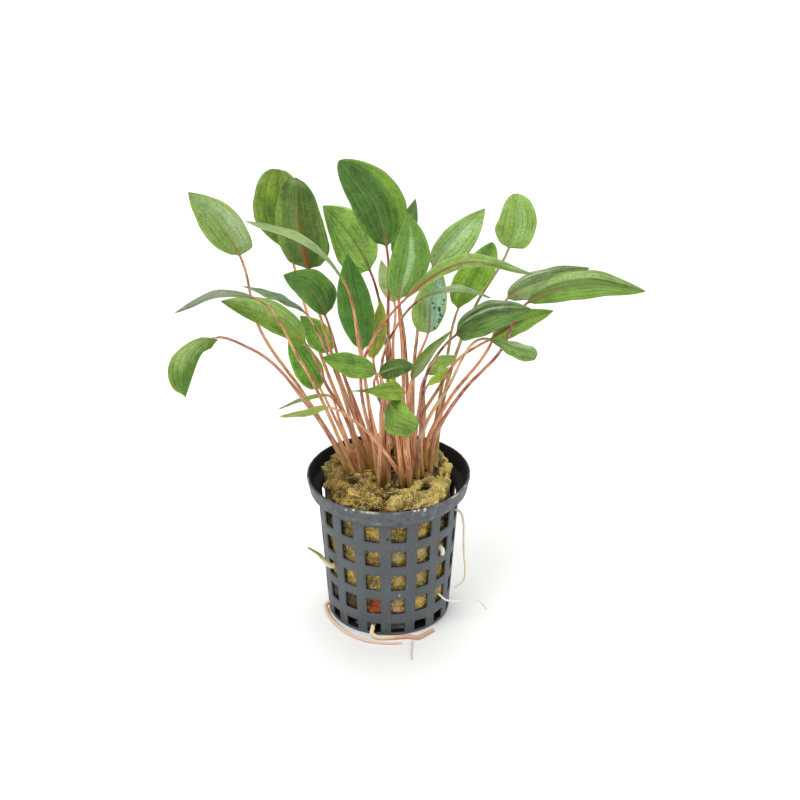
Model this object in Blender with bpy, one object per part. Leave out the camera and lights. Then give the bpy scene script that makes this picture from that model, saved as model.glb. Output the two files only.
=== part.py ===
"""A potted cryptocoryne: a small clump of a marsh plant in a plastic net pot, in rock wool.

Metres, +Z up. The origin is the centre of the pot's underside, on the surface it stands on.
-Y is the front of the plant, +X its right. Every leaf is one solid, blade and petiole
together, because it grew as one piece. Sizes below are in millimetres.
"""

from math import cos, pi, radians, sin
from typing import NamedTuple

import bmesh
import bpy
from mathutils import Vector

MM = 0.001
GAP = 0.3

# The net pot: sixteen columns and five rows of holes under a plain collar.
POT_HEIGHT = 51.9
POT_WALL = 1.0
POT_COLUMNS = 16
POT_TURN = -2.45
POT_SHARP_ANGLE = 30
HOLE_ANGLE = 12.6
HOLE_ROWS = [(0.9, 4.7), (8.7, 14.7), (18.3, 24.3), (28.0, 34.0), (37.7, 43.7)]
BASE_RADIUS = 20.6
WALL_SLOPE = 0.069
SHOULDER_LOW = 45.0
SHOULDER_HIGH = 46.5
COLLAR_RADIUS = 26.4
RIM_RADIUS = 27.5
FLOOR_RADII = [17.5, 7.0]
FLOOR_SLOT_SPAN = 3

# The rock wool plug, with a pocket in its top that the crowns stand in.
WOOL_SIDES = 24
WOOL_FOOT_RADIUS = 11.0
WOOL_FULL_HEIGHTS = [7.2, 22.0, 34.0, 44.5]
WOOL_NECK = 47.6
WOOL_SHOULDER = 50.5
WOOL_SHARP_ANGLE = 60
WOOL_LUMPS = [(3, 0.33, 0.5), (5, -0.5, 0.35)]
# Rings over the wool's crest: how far towards the pocket, and how much lower than the crest.
CREST_RINGS = [(0.3, 0.6), (0.6, 0.0), (1.0, 0.9)]
WOOL_CREST = 54.9
WOOL_BACK_RISE = 2.0
WOOL_RIGHT_DROP = 0.4
WOOL_RADIUS_HIGH = 20.8
WOOL_FRONT_BULGE = 3.6
POCKET_CENTRE = (2.4, -1.4)
POCKET_HALF = (16.6, 11.1)
POCKET_FLOOR = 47.0
POCKET_SIDE_DROP = 3.2

# The crowns: short rootstocks, each carrying a rosette of leaves.
CROWN_TOP = 49.7
CROWN_RADIUS = 3.2
CROWN_FOOT_RADIUS = 2.6
CROWN_FOOT_RISE = 0.8
CROWN_SIDES = 10
CROWNS = {
    "left": (-9.5, -1.0),
    "back_left": (-3.5, 3.5),
    "front_left": (-1.5, -5.5),
    "back_right": (6.0, 3.0),
    "front_right": (7.0, -6.0),
    "right": (12.2, -0.6),
}

# Petioles and blades.
RING_RADIUS = 2.35
FOOT_RADIUS = 0.78
NECK_RADIUS = 0.4
BLADE_EDGE = 0.2
BLADE_TOP = 0.25
MIDRIB_DEPTH = 0.5
MIDRIB_THINNING = 0.6
EDGE_THINNING = 0.5
PATH_PIECES = 14
PETIOLE_RING_TURNS = (150, 210, 270, 330, 30, 90)
PETIOLE_STATIONS = [0.0, 0.17, 0.36, 0.56, 0.76, 0.94]
BLADE_STATIONS = [0.0, 0.07, 0.19, 0.36, 0.54, 0.72, 0.87, 1.0]
BELLY_STATION = 3


class Leaf(NamedTuple):
    """One leaf: where its petiole passes, its midrib, the reach of its halves, its outline.

    The two reaches are measured from the midrib where the blade is widest. A lower power makes
    an end blunter, and lean makes the right half's base squarer than the left's.
    """

    name: str
    crown: str
    stalk: list
    neck: tuple
    belly: tuple
    tip: tuple
    left: tuple
    right: tuple
    tip_power: float = 0.85
    base_power: float = 0.65
    widest: float = 0.42
    lean: float = 0.0


LEAVES = [
    Leaf("left_high", "left", [(-28.5, 8, 77.5), (-43, 17.5, 97)],
         (-49, 24, 120), (-55.5, 24, 131.5), (-65, 22.5, 143.5), (-4.5, -3, -2.6), (5.5, 4, 2),
         base_power=0.5, lean=0.5),
    Leaf("left_drooping", "left", [(-24.5, -12, 81), (-43.5, -17.5, 106.5)],
         (-55, -20, 111.5), (-61, -24, 108), (-64, -27.5, 94), (-7.2, -3, -0.9), (5, 2.5, 0.5),
         tip_power=1.3, base_power=0.8, widest=0.46),
    Leaf("left_low", "left", [(-17.5, 3, 70)],
         (-22.5, 5, 80.5), (-27.5, 5, 90.5), (-32.5, 6.5, 98.5), (-3.9, -2, -2), (3.4, 1.5, 2),
         tip_power=0.7, base_power=0.5),
    Leaf("left_sliver_upper", "left", [(-16, -3, 73)],
         (-19.5, -3.5, 82.5), (-27.5, -3.5, 81), (-36, -4.5, 78), (-0.3, 2.2, -0.4), (0.3, -2.5, 0.5)),
    Leaf("left_side_on", "left", [(-28.5, -9, 98.5)],
         (-42, -11, 121), (-53.5, -13.5, 123.5), (-67, -17.5, 119), (-1, 4, -0.5), (0.5, -3.5, 0.5)),
    Leaf("left_large", "left", [(-15.5, -1.5, 76.5), (-19.5, -2, 84)],
         (-26.5, -2.5, 100.5), (-38.5, -3.5, 110.5), (-53.5, -5.5, 117.5), (2, 5, 3.5), (-1.5, -3, -1.6)),
    Leaf("left_edge_on", "left", [(-20.5, 9, 92.5)],
         (-27.5, 11.5, 105.5), (-36, 12, 110.5), (-47.5, 11.5, 115), (0, 5, -1), (0, -5, 1)),
    Leaf("back_left_round", "back_left", [(-18, 10.5, 77)],
         (-33, 38, 115.5), (-36, 42.5, 130.5), (-36.5, 46, 142), (-9.5, -2, 1.7), (9, -1, 0.5),
         tip_power=0.4, base_power=0.85),
    Leaf("back_left_small", "back_left", [(-13, 13, 76)],
         (-19, 17.5, 88), (-23.5, 20.5, 93.5), (-29.5, 22.5, 99), (-3.5, -3, -2), (3, 2, 1.5)),
    Leaf("left_underside", "back_left", [(-17, 10.5, 84)],
         (-26, 14, 119.5), (-28.5, 13.5, 133.5), (-29.5, 16.5, 151), (-8, 3, -0.5), (9, 2, -3.5),
         tip_power=0.35, base_power=0.5, lean=-0.4),
    Leaf("left_pointed", "back_left", [(-17, 4, 95)],
         (-20.5, 5.5, 107), (-25.5, 7, 116), (-34, 7, 121), (6, 3, 2), (-3.5, -4, 0)),
    Leaf("back_light", "back_left", [(-3, 6.5, 79.5)],
         (-5, 9, 89.5), (-3.5, 10, 99.5), (-2.5, 12, 110), (-3, -1, -0.5), (3, 1, -0.5)),
    Leaf("back_middle_left", "back_left", [(-1, 13.5, 94.5)],
         (-6, 21, 116), (-13, 24, 128), (-21.5, 26.5, 137), (-5, -3, -6), (5.5, 2, 5)),
    Leaf("middle_dark", "front_left", [(-7.5, -0.5, 85)],
         (-8.5, 1.5, 96), (-11.5, 1.5, 114), (-13, 1, 131), (-5, 0, -0.5), (6, 2, 0.5)),
    Leaf("left_arching", "front_left", [(-9, -9.5, 101.5)],
         (-14, -11.5, 127.5), (-26, -15.5, 143), (-44, -19, 151), (0.5, -6, 1.3), (-0.5, 6, -1.3),
         widest=0.5),
    Leaf("front_dark", "front_left", [(-0.5, -12, 78)],
         (-3, -17, 97), (2.5, -17, 99.5), (8, -17, 100), (-0.5, 4, 1), (0.5, -2, -2.5), tip_power=0.5),
    Leaf("front_left", "front_left", [(-2.5, -17.5, 80.5)],
         (-3.5, -24, 101), (-12, -27, 105.5), (-20.5, -32, 110.5), (0.5, 3, 2.5), (-0.5, -4, -2)),
    Leaf("right_arching", "front_left", [(-6.5, -13, 104)],
         (5, -13.5, 121.5), (24.5, -16.5, 136), (45, -20, 133.5), (-0.4, 3, 1.6), (0.5, -1.8, -0.6),
         tip_power=0.8, base_power=0.9, widest=0.4),
    Leaf("narrow_arch", "back_right", [(0, 1, 100)],
         (11, 0, 116), (21.5, 0, 119.5), (33, -2, 117), (0, 3.5, -0.6), (0, -3.5, 0.6)),
    Leaf("tallest", "back_right", [(0, 8, 100.5)],
         (-0.5, 13, 128), (-4.5, 13.5, 143.5), (-15.5, 12.5, 158.5), (-6.3, -2.5, -2.5), (9.3, 2.5, 1),
         tip_power=0.55, base_power=0.75),
    Leaf("back_pale", "back_right", [(1.5, 16, 91.5)],
         (2, 20, 105), (-0.5, 22, 112), (-2.5, 24.5, 118.5), (-2.5, -1, -0.5), (2.5, 0, 0.5)),
    Leaf("back_tip", "back_right", [(5.5, 19, 90)],
         (3, 26.5, 118), (6, 29, 129), (9, 31.5, 137.5), (-3.5, -1, 0), (3.5, 1, -1)),
    Leaf("back_right_oval", "back_right", [(9, 16, 89.5)],
         (14.5, 24.5, 115.5), (24, 29, 126.5), (32, 32.5, 133.5), (-3.4, 0.6, 2.3), (5, -4, -2.5)),
    Leaf("pale_speckled", "back_right", [(10, 8.5, 91)],
         (13, 9.5, 98.5), (14, 12, 108.5), (17, 13.5, 120.5), (-6, -3, -1), (5, -1, 0.5)),
    Leaf("middle_glossy", "back_right", [(4.5, -2.5, 100.5)],
         (3.5, -1.5, 116), (6.5, -1.5, 131.5), (6.5, -4, 147.5), (-5.8, 0, -0.5), (6.5, 2, -3)),
    Leaf("front_low", "front_right", [(2.5, -17.5, 77.5)],
         (0.5, -32.5, 95.5), (3, -39.5, 94), (9.5, -45, 93.5), (-3, -2, -4.5), (3, 1, 3), tip_power=0.5),
    Leaf("front_flat", "front_right", [(5, -20, 78.5)],
         (5, -30.5, 98), (1.5, -34, 100), (-13, -37, 101.5), (0.5, 4, 1.5), (-0.3, -3.7, -1.3),
         tip_power=4.0, base_power=0.5, widest=0.25),
    Leaf("rolled", "front_right", [(6.5, -17, 89.5)],
         (7.5, -21, 97), (11.5, -24.5, 106.5), (20, -24.5, 116.5), (-1.5, 1, 0.5), (1.5, 2.5, -2.5)),
    Leaf("left_sliver_lower", "front_right", [(-1, -14, 67), (-8.5, -20.5, 80)],
         (-19, -20.5, 87), (-26.5, -20.5, 85), (-34.5, -23, 85), (0, 2, 0.3), (0, -3, 0.2), tip_power=0.6),
    Leaf("right_dark", "front_right", [(10.5, -7, 69.5), (13, -8, 94)],
         (21.5, -11, 108), (32, -13.5, 115.5), (45, -17.5, 120.5), (-1, 5.5, 2.7), (1, -4.5, -2.8),
         base_power=0.4),
    Leaf("right_small_upper", "front_right", [(10, -4.5, 77.5)],
         (12.5, 0.5, 88), (17.5, 1.5, 92), (22, 2, 94), (-1, 3, 1), (1.5, -3, -0.5)),
    Leaf("behind_arch", "right", [(19, 12.5, 85)],
         (23, 16, 104.5), (29, 18.5, 115.5), (34, 22, 126), (-6, 0, 2), (6, -2, 2), tip_power=0.7),
    Leaf("right_small_lower", "right", [(12, 2, 71)],
         (13, 4, 82.5), (17, 5, 85), (21.5, 6.5, 88.5), (-0.5, 3, 0), (0.5, -3, 0)),
    Leaf("right_round", "right", [(20, 10, 82), (29, 21, 103.5)],
         (40, 30.5, 120), (42.5, 34, 129), (41.5, 38, 136.5), (-6.5, -1, 0.5), (6.5, -3, 0.5),
         tip_power=0.5, base_power=0.5, lean=0.4),
    Leaf("right_curled", "right", [(11, -4, 67.5), (19, -7, 86.5)],
         (32, -14.5, 108.5), (39.5, -17, 106), (47, -21, 105.5), (1, 3, 1.5), (-0.5, -3, -1.5),
         tip_power=0.3, base_power=1.0, widest=0.78),
    Leaf("right_dark_back", "right", [(8, -2, 66), (16, -2, 83.5), (23.5, -1.5, 95.5)],
         (33.5, -1, 102), (44, 0, 108), (53.5, 0, 111.5), (-1, 4, 1.5), (1, -4, -1.5)),
    Leaf("far_right", "right", [(15.5, -4, 67.5), (24.5, -5, 85), (36, -6, 99.5)],
         (44, -8.5, 118), (62, -12, 126), (81, -16.5, 126), (-0.5, 5, 3), (0.5, -5, -2)),
    Leaf("right_inner", "right", [(12.5, 0, 61.5), (20, 1, 78.5), (33, 3, 97)],
         (38.5, 6.5, 112.5), (51, 7, 119), (65, 6, 124), (-2, 4, 2), (0.5, -5, -2.5)),
]

# Roots that show outside the pot: name, thickness at each end and the way they run.
ROOTS = [
    ("root_front", 0.8, 0.5, [(-4.6, -15.4, 3.1), (-5.4, -20.2, 2.9), (-5.6, -22.0, 1.9),
                              (-4.2, -22.8, 1.1), (0.5, -23.0, 1.0), (7.0, -22.4, 1.0),
                              (9.5, -23.1, 1.0), (12.2, -21.0, 1.0), (15.4, -17.8, 0.8)]),
    ("root_left", 0.7, 0.35, [(-14.6, -3.0, 3.2), (-19.2, -3.6, 3.0), (-21.5, -4.7, 2.2),
                              (-21.0, -7.4, 1.1), (-19.3, -11.8, 0.8), (-16.7, -16.3, 0.8),
                              (-14.2, -19.5, 0.7), (-10.7, -22.5, 0.7), (-7.3, -24.6, 0.7),
                              (-3.5, -25.5, 0.6), (0.5, -26.0, 0.6), (4.5, -25.6, 0.5)]),
    ("root_front_hair", 0.22, 0.16, [(7.9, -24.4, 0.5), (7.8, -28.0, 0.5), (7.6, -32.0, 0.4),
                                   (7.8, -35.8, 0.4)]),
    ("root_right", 0.5, 0.22, [(21.9, -5.4, 40.6), (24.2, -6.0, 39.6), (25.2, -6.8, 36.0),
                               (25.3, -7.0, 30.0), (25.5, -7.0, 23.5), (25.9, -7.5, 17.9),
                               (25.2, -8.0, 13.8), (23.6, -9.2, 12.9), (22.0, -10.6, 12.7)]),
    ("root_right_low", 0.4, 0.2, [(16.5, -12.0, 11.6), (19.4, -13.2, 9.6), (22.4, -13.2, 9.2),
                                   (24.8, -13.2, 9.4), (27.8, -13.0, 10.6), (30.4, -13.0, 9.4),
                                   (33.4, -13.0, 5.4)]),
    ("root_tip_right", 0.9, 0.6, [(17.0, -13.5, 30.8), (18.0, -14.7, 30.5),
                                  (18.0, -16.2, 29.0)]),
]

SHOOT_PATH = [(-18.3, -11.1, 21.7), (-19.6, -11.9, 22.5), (-23.4, -13.7, 28.0),
              (-27.0, -15.0, 31.5)]
SHOOT_BASE_RADIUS = 0.95
SHOOT_TIP_RADIUS = 0.3
ROOT_EXTRA_RINGS = 2


def scaled(point):
    """Turn a point in millimetres into a vector in metres."""
    return Vector(point) * MM


def make_material(name, colour, roughness):
    """Make a plain painted-looking material of one colour."""
    material = bpy.data.materials.new(name)
    material.use_nodes = True
    shader = material.node_tree.nodes["Principled BSDF"]
    shader.inputs["Base Color"].default_value = (*colour, 1.0)
    shader.inputs["Roughness"].default_value = roughness
    shader.inputs["Metallic"].default_value = 0.0
    material.diffuse_color = (*colour, 1.0)
    return material


def finish(bm, name, materials, smooth_angle=40):
    """Turn a bmesh into a named object with its faces pointing out."""
    bmesh.ops.recalc_face_normals(bm, faces=bm.faces)
    if bm.calc_volume(signed=True) < 0:
        bmesh.ops.reverse_faces(bm, faces=bm.faces)
    mesh = bpy.data.meshes.new(name)
    bm.to_mesh(mesh)
    bm.free()
    for material in materials:
        mesh.materials.append(material)
    mesh.shade_smooth()
    mesh.set_sharp_from_angle(angle=radians(smooth_angle))
    thing = bpy.data.objects.new(name, mesh)
    bpy.context.scene.collection.objects.link(thing)
    return thing


def extrude_through(bm, rings, materials=None):
    """Extrude one closed ring of points through a list of rings, and cap both ends."""
    place = bm.verts.layers.int.new("place")
    start = []
    for number, point in enumerate(rings[0]):
        vert = bm.verts.new(point)
        vert[place] = number
        start.append(vert)
    face = bm.faces.new(start)
    for step, ring in enumerate(rings[1:]):
        made = bmesh.ops.extrude_face_region(bm, geom=[face])["geom"]
        if step:
            bmesh.ops.delete(bm, geom=[face], context="FACES_ONLY")
        face = [item for item in made if isinstance(item, bmesh.types.BMFace)][0]
        for vert in face.verts:
            vert.co = ring[vert[place]]
        if materials:
            for wall in {near for edge in face.edges for near in edge.link_faces}:
                wall.material_index = materials[step]


def smooth_path(points):
    """Return close points along one smooth curve through the given points."""
    gaps = [(after - before).length for before, after in zip(points, points[1:])]
    slopes = [(points[1] - points[0]) / gaps[0]]
    for number in range(1, len(points) - 1):
        before = (points[number] - points[number - 1]) / gaps[number - 1]
        after = (points[number + 1] - points[number]) / gaps[number]
        share = gaps[number - 1] / (gaps[number - 1] + gaps[number])
        slopes.append(before.lerp(after, share))
    slopes.append((points[-1] - points[-2]) / gaps[-1])
    path = []
    for number, gap in enumerate(gaps):
        for piece in range(PATH_PIECES):
            t = piece / PATH_PIECES
            path.append(
                points[number] * (2 * t**3 - 3 * t**2 + 1)
                + slopes[number] * gap * (t**3 - 2 * t**2 + t)
                + points[number + 1] * (3 * t**2 - 2 * t**3)
                + slopes[number + 1] * gap * (t**3 - t**2)
            )
    path.append(points[-1])
    return path


def stations(path, shares):
    """Return the point and direction at each share of a path's length."""
    lengths = [0.0]
    for before, after in zip(path, path[1:]):
        lengths.append(lengths[-1] + (after - before).length)
    found = []
    for share in shares:
        target = share * lengths[-1]
        number = 0
        while number < len(path) - 2 and lengths[number + 1] < target:
            number += 1
        span = lengths[number + 1] - lengths[number]
        point = path[number].lerp(path[number + 1], (target - lengths[number]) / span)
        before = path[max(number - 1, 0)]
        after = path[min(number + 2, len(path) - 1)]
        found.append((point, (after - before).normalized()))
    return found


def half_width(leaf, share, side):
    """Return how wide one half is at a share of the blade's length, 1 at its widest."""
    if share < leaf.widest:
        power = leaf.base_power * (1 - side * leaf.lean)
        return max(sin(pi / 2 * share / leaf.widest), 0.0) ** power
    return max(cos(pi / 2 * (share - leaf.widest) / (1 - leaf.widest)), 0.0) ** leaf.tip_power


def petiole_rings(spots, side):
    """Return six-sided rings down a petiole, turned to meet the blade."""
    rings = []
    for number, (point, direction) in reversed(list(enumerate(spots))):
        side = (side - direction * side.dot(direction)).normalized()
        upward = direction.cross(side)
        share = number / (len(spots) - 1)
        radius = (FOOT_RADIUS + (NECK_RADIUS - FOOT_RADIUS) * share) * MM
        ring = []
        for turn in PETIOLE_RING_TURNS:
            ring.append(point + (side * cos(radians(turn)) + upward * sin(radians(turn))) * radius)
        rings.append(ring)
    return rings[::-1]


def blade_rings(leaf, spots):
    """Return six-sided rings along a blade: two thin edges, a flat top and a midrib below."""
    left = scaled(leaf.left)
    right = scaled(leaf.right)
    belly_direction = spots[BELLY_STATION][1]
    rings = []
    for share, (point, direction) in zip(BLADE_STATIONS, spots):
        turn = belly_direction.rotation_difference(direction)
        to_left = turn @ left
        to_right = turn @ right
        upward = direction.cross((to_right - to_left).normalized())
        least = NECK_RADIUS * MM * (1 - share)
        left_width = half_width(leaf, share, -1)
        right_width = half_width(leaf, share, 1)
        left_edge = point + to_left * left_width + to_left.normalized() * least
        right_edge = point + to_right * right_width + to_right.normalized() * least
        thick = 1 - MIDRIB_THINNING * share
        edge = upward * BLADE_EDGE * MM * (1 - EDGE_THINNING * share)
        rings.append([
            left_edge + edge,
            left_edge - edge,
            point - upward * MIDRIB_DEPTH * MM * thick,
            right_edge - edge,
            right_edge + edge,
            point + upward * BLADE_TOP * MM * thick,
        ])
    return rings


def make_leaf(leaf, foot, petiole_material, blade_material):
    """Make one leaf, from its foot on the crown to its tip."""
    stalk = [scaled(point) for point in leaf.stalk]
    neck = scaled(leaf.neck)
    belly = scaled(leaf.belly)
    path = smooth_path([foot, *stalk, neck, belly, scaled(leaf.tip)])
    neck_place = PATH_PIECES * (len(stalk) + 1)
    petiole = stations(path[:neck_place + 1], PETIOLE_STATIONS)
    petiole[0] = (foot, Vector((0, 0, 1)))
    blade = stations(path[neck_place:], BLADE_STATIONS)
    rings = petiole_rings(petiole, (scaled(leaf.right) - scaled(leaf.left)).normalized())
    rings += blade_rings(leaf, blade)
    slots = [0] * len(PETIOLE_STATIONS) + [1] * (len(BLADE_STATIONS) - 1)
    bm = bmesh.new()
    extrude_through(bm, rings, slots)
    return finish(bm, "leaf_" + leaf.name, [petiole_material, blade_material])


def feet_of(crown):
    """Give each leaf of a crown its foot, on the side to which its petiole leans."""
    centre = Vector((*CROWNS[crown], CROWN_TOP + GAP))
    members = [leaf for leaf in LEAVES if leaf.crown == crown]
    leans = {}
    for leaf in members:
        lean = Vector(leaf.stalk[0]) - centre
        leans[leaf.name] = Vector((lean.x / lean.z, lean.y / lean.z))
    middle = sum(leans.values(), Vector((0, 0))) / len(members)
    members.sort(key=lambda leaf: (leans[leaf.name] - middle).length)
    feet = {members[0].name: centre}
    ring = members[1:]
    ring.sort(key=lambda leaf: Vector((1, 0)).angle_signed(leans[leaf.name] - middle))
    first = Vector((1, 0)).angle_signed(leans[ring[0].name] - middle)
    for number, leaf in enumerate(ring):
        turn = -first - 2 * pi * number / len(ring)
        feet[leaf.name] = centre + Vector((cos(turn), sin(turn), 0)) * RING_RADIUS
    return {name: foot * MM for name, foot in feet.items()}


def make_crown(name, centre, material):
    """Make one rootstock, a short blunt stub standing in the pocket."""
    low = POCKET_FLOOR + GAP
    levels = [
        (low, CROWN_FOOT_RADIUS),
        (low + CROWN_FOOT_RISE, CROWN_RADIUS),
        (CROWN_TOP, CROWN_RADIUS),
    ]
    rings = []
    for height, radius in levels:
        ring = []
        for number in range(CROWN_SIDES):
            turn = 2 * pi * number / CROWN_SIDES
            ring.append(scaled((
                centre[0] + radius * cos(turn), centre[1] + radius * sin(turn), height)))
        rings.append(ring)
    bm = bmesh.new()
    extrude_through(bm, rings)
    return finish(bm, "crown_" + name, [material])


def wall_radius(height):
    """Return the outer radius of the pot's wall below its collar."""
    return BASE_RADIUS + WALL_SLOPE * height


def make_pot(material):
    """Make the net pot: a ring of edges raised level by level, with its holes left out."""
    bm = bmesh.new()
    hole = bm.faces.layers.int.new("hole")
    made = bmesh.ops.create_circle(bm, segments=POT_COLUMNS * 2, radius=BASE_RADIUS * MM)
    pitch = 360 / POT_COLUMNS
    for number, vert in enumerate(made["verts"]):
        column, second = divmod(number, 2)
        turn = pitch * (column + 0.5) + POT_TURN + (HOLE_ANGLE / 2 if second else -HOLE_ANGLE / 2)
        vert.co = Vector((sin(radians(turn)), -cos(radians(turn)), 0)) * BASE_RADIUS * MM
    levels = []
    for low, high in HOLE_ROWS:
        levels.append((low, wall_radius(low), False))
        levels.append((high, wall_radius(high), True))
    levels.append((SHOULDER_LOW, wall_radius(SHOULDER_LOW), False))
    levels.append((SHOULDER_HIGH, COLLAR_RADIUS, False))
    levels.append((POT_HEIGHT, RIM_RADIUS, False))
    edges = bm.edges[:]
    base = edges
    for height, radius, holed in levels:
        made = bmesh.ops.extrude_edge_only(bm, edges=edges)["geom"]
        edges = [item for item in made if isinstance(item, bmesh.types.BMEdge)]
        for vert in [item for item in made if isinstance(item, bmesh.types.BMVert)]:
            out = Vector((vert.co.x, vert.co.y, 0)).normalized()
            vert.co = out * radius * MM + Vector((0, 0, height * MM))
        for face in [item for item in made if isinstance(item, bmesh.types.BMFace)]:
            face[hole] = 1 if holed and is_hole_column(face.calc_center_median()) else 0
    edges = base
    for number, radius in enumerate(FLOOR_RADII):
        made = bmesh.ops.extrude_edge_only(bm, edges=edges)["geom"]
        edges = [item for item in made if isinstance(item, bmesh.types.BMEdge)]
        for vert in [item for item in made if isinstance(item, bmesh.types.BMVert)]:
            vert.co = vert.co.normalized() * radius * MM
        for face in [item for item in made if isinstance(item, bmesh.types.BMFace)]:
            slotted = number > 0 and is_slot(face.calc_center_median())
            face[hole] = 1 if slotted else 0
    for face in bmesh.ops.contextual_create(bm, geom=edges)["faces"]:
        face[hole] = 0
    bmesh.ops.delete(bm, geom=[face for face in bm.faces if face[hole]], context="FACES")
    bmesh.ops.recalc_face_normals(bm, faces=bm.faces)
    middle = min(bm.faces, key=lambda face: face.calc_center_median().length)
    if middle.normal.z > 0:
        bmesh.ops.reverse_faces(bm, faces=bm.faces)
    bmesh.ops.solidify(bm, geom=bm.faces[:], thickness=POT_WALL * MM)
    return finish(bm, "net_pot", [material], POT_SHARP_ANGLE)


def column_turn(centre):
    """Return where a point stands in its column of the pot, in degrees from the hole's middle."""
    turn = Vector((0, -1)).angle_signed(Vector((centre.x, centre.y)))
    pitch = 360 / POT_COLUMNS
    return (-turn * 180 / pi - POT_TURN) % pitch - pitch / 2


def is_hole_column(centre):
    """Tell whether a wall face stands over a column of holes."""
    return abs(column_turn(centre)) < HOLE_ANGLE / 4


def is_slot(centre):
    """Tell whether a floor face is one of the slots, which leave a spoke every quarter."""
    turn = -Vector((0, -1)).angle_signed(Vector((centre.x, centre.y))) * 180 / pi - POT_TURN
    step = int((turn % 360) / (180 / POT_COLUMNS))
    return step % 4 < FLOOR_SLOT_SPAN


def wool_wall(height):
    """Return the radius at which the wool clears the flat panels between the pot's corners."""
    flat = cos(radians((360 / POT_COLUMNS - HOLE_ANGLE) / 2))
    return (wall_radius(height) - POT_WALL) * flat - GAP


def lump(turn, height):
    """Return a small unevenness of the wool's surface, in millimetres."""
    return sum(size * sin(waves * turn + drift * height) for waves, drift, size in WOOL_LUMPS)


def wool_crest(turn):
    """Return how high the wool stands at a turn around the plug, higher at the back."""
    return WOOL_CREST + WOOL_BACK_RISE * sin(turn) - WOOL_RIGHT_DROP * cos(turn)


def make_wool(material):
    """Make the rock wool plug with the pocket in its top."""
    levels = [(POT_WALL + GAP, WOOL_FOOT_RADIUS, 0.0)]
    for height in WOOL_FULL_HEIGHTS:
        levels.append((height, wool_wall(height), 0.0))
    levels.append((WOOL_NECK, WOOL_RADIUS_HIGH, 0.6))
    levels.append((WOOL_SHOULDER, WOOL_RADIUS_HIGH - 0.4, 1.0))
    rings = []
    turns = [2 * pi * number / WOOL_SIDES for number in range(WOOL_SIDES)]
    for height, radius, bulge in levels:
        ring = []
        for turn in turns:
            front = max(-sin(turn), 0.0)
            reach = radius + WOOL_FRONT_BULGE * bulge * front
            if height > SHOULDER_LOW:
                reach += lump(turn, height)
            ring.append(scaled((reach * cos(turn), reach * sin(turn), height)))
        rings.append(ring)
    outer = rings[-1]
    for share, drop in CREST_RINGS:
        ring = []
        for turn, start in zip(turns, outer):
            height = wool_crest(turn) - drop - POCKET_SIDE_DROP * cos(turn)**2 * share**4
            point = start.lerp(pocket_point(turn, height), share)
            point.z = (height + lump(turn, share) * (1 - share)) * MM
            ring.append(point)
        rings.append(ring)
    rings.append([pocket_point(turn, POCKET_FLOOR) for turn in turns])
    bm = bmesh.new()
    extrude_through(bm, rings)
    return finish(bm, "rock_wool", [material], WOOL_SHARP_ANGLE)


def pocket_point(turn, height):
    """Return a point on the wall of the pocket that the crowns stand in."""
    return scaled((
        POCKET_CENTRE[0] + POCKET_HALF[0] * cos(turn),
        POCKET_CENTRE[1] + POCKET_HALF[1] * sin(turn),
        height,
    ))


def make_root(name, start_radius, end_radius, points, material):
    """Make one root, a tapering tube along its route."""
    path = smooth_path([scaled(point) for point in points])
    count = len(points) + ROOT_EXTRA_RINGS
    spots = stations(path, [number / (count - 1) for number in range(count)])
    side = Vector((0, 0, 1))
    if abs(spots[0][1].z) > 0.9:
        side = Vector((0, 1, 0))
    rings = []
    for number, (point, direction) in enumerate(spots):
        side = (side - direction * side.dot(direction)).normalized()
        across = direction.cross(side)
        radius = (start_radius + (end_radius - start_radius) * number / (count - 1)) * MM
        ring = []
        for turn in range(0, 360, 60):
            ring.append(point + (side * cos(radians(turn)) + across * sin(radians(turn))) * radius)
        rings.append(ring)
    bm = bmesh.new()
    extrude_through(bm, rings)
    return finish(bm, name, [material])


def main():
    """Build every piece of the potted plant."""
    for thing in list(bpy.data.objects):
        bpy.data.objects.remove(thing, do_unlink=True)
    plastic = make_material("slate_plastic", (0.12, 0.14, 0.17), 0.55)
    wool = make_material("rock_wool_fibre", (0.34, 0.26, 0.09), 0.95)
    rootstock = make_material("rootstock", (0.16, 0.09, 0.04), 0.8)
    stalk = make_material("petiole_pink", (0.55, 0.22, 0.13), 0.45)
    green = make_material("leaf_green", (0.14, 0.3, 0.05), 0.4)
    cream = make_material("root_cream", (0.75, 0.58, 0.35), 0.6)
    lime = make_material("shoot_lime", (0.5, 0.55, 0.15), 0.5)
    make_pot(plastic)
    make_wool(wool)
    for name, centre in CROWNS.items():
        make_crown(name, centre, rootstock)
        feet = feet_of(name)
        for leaf in LEAVES:
            if leaf.crown == name:
                make_leaf(leaf, feet[leaf.name], stalk, green)
    for name, start_radius, end_radius, points in ROOTS:
        make_root(name, start_radius, end_radius, points, cream)
    make_root("side_shoot", SHOOT_BASE_RADIUS, SHOOT_TIP_RADIUS, SHOOT_PATH, lime)


main()
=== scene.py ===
"""Dresses the potted cryptocoryne: leaves and their stalks, the net pot, the rock wool, the roots.

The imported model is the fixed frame. Sizes below are millimetres in that frame, +Z up and -Y to
the front, and become metres where a mesh is made. The routes repeat the solids' own routes.
"""

import logging
from collections.abc import Callable, Iterable, Sequence
from dataclasses import dataclass, field
from enum import Enum
from itertools import cycle
from math import cos, exp, floor, hypot, pi, radians, sin
from random import Random

import bmesh
import bpy
from mathutils import Matrix, Vector, noise


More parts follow.
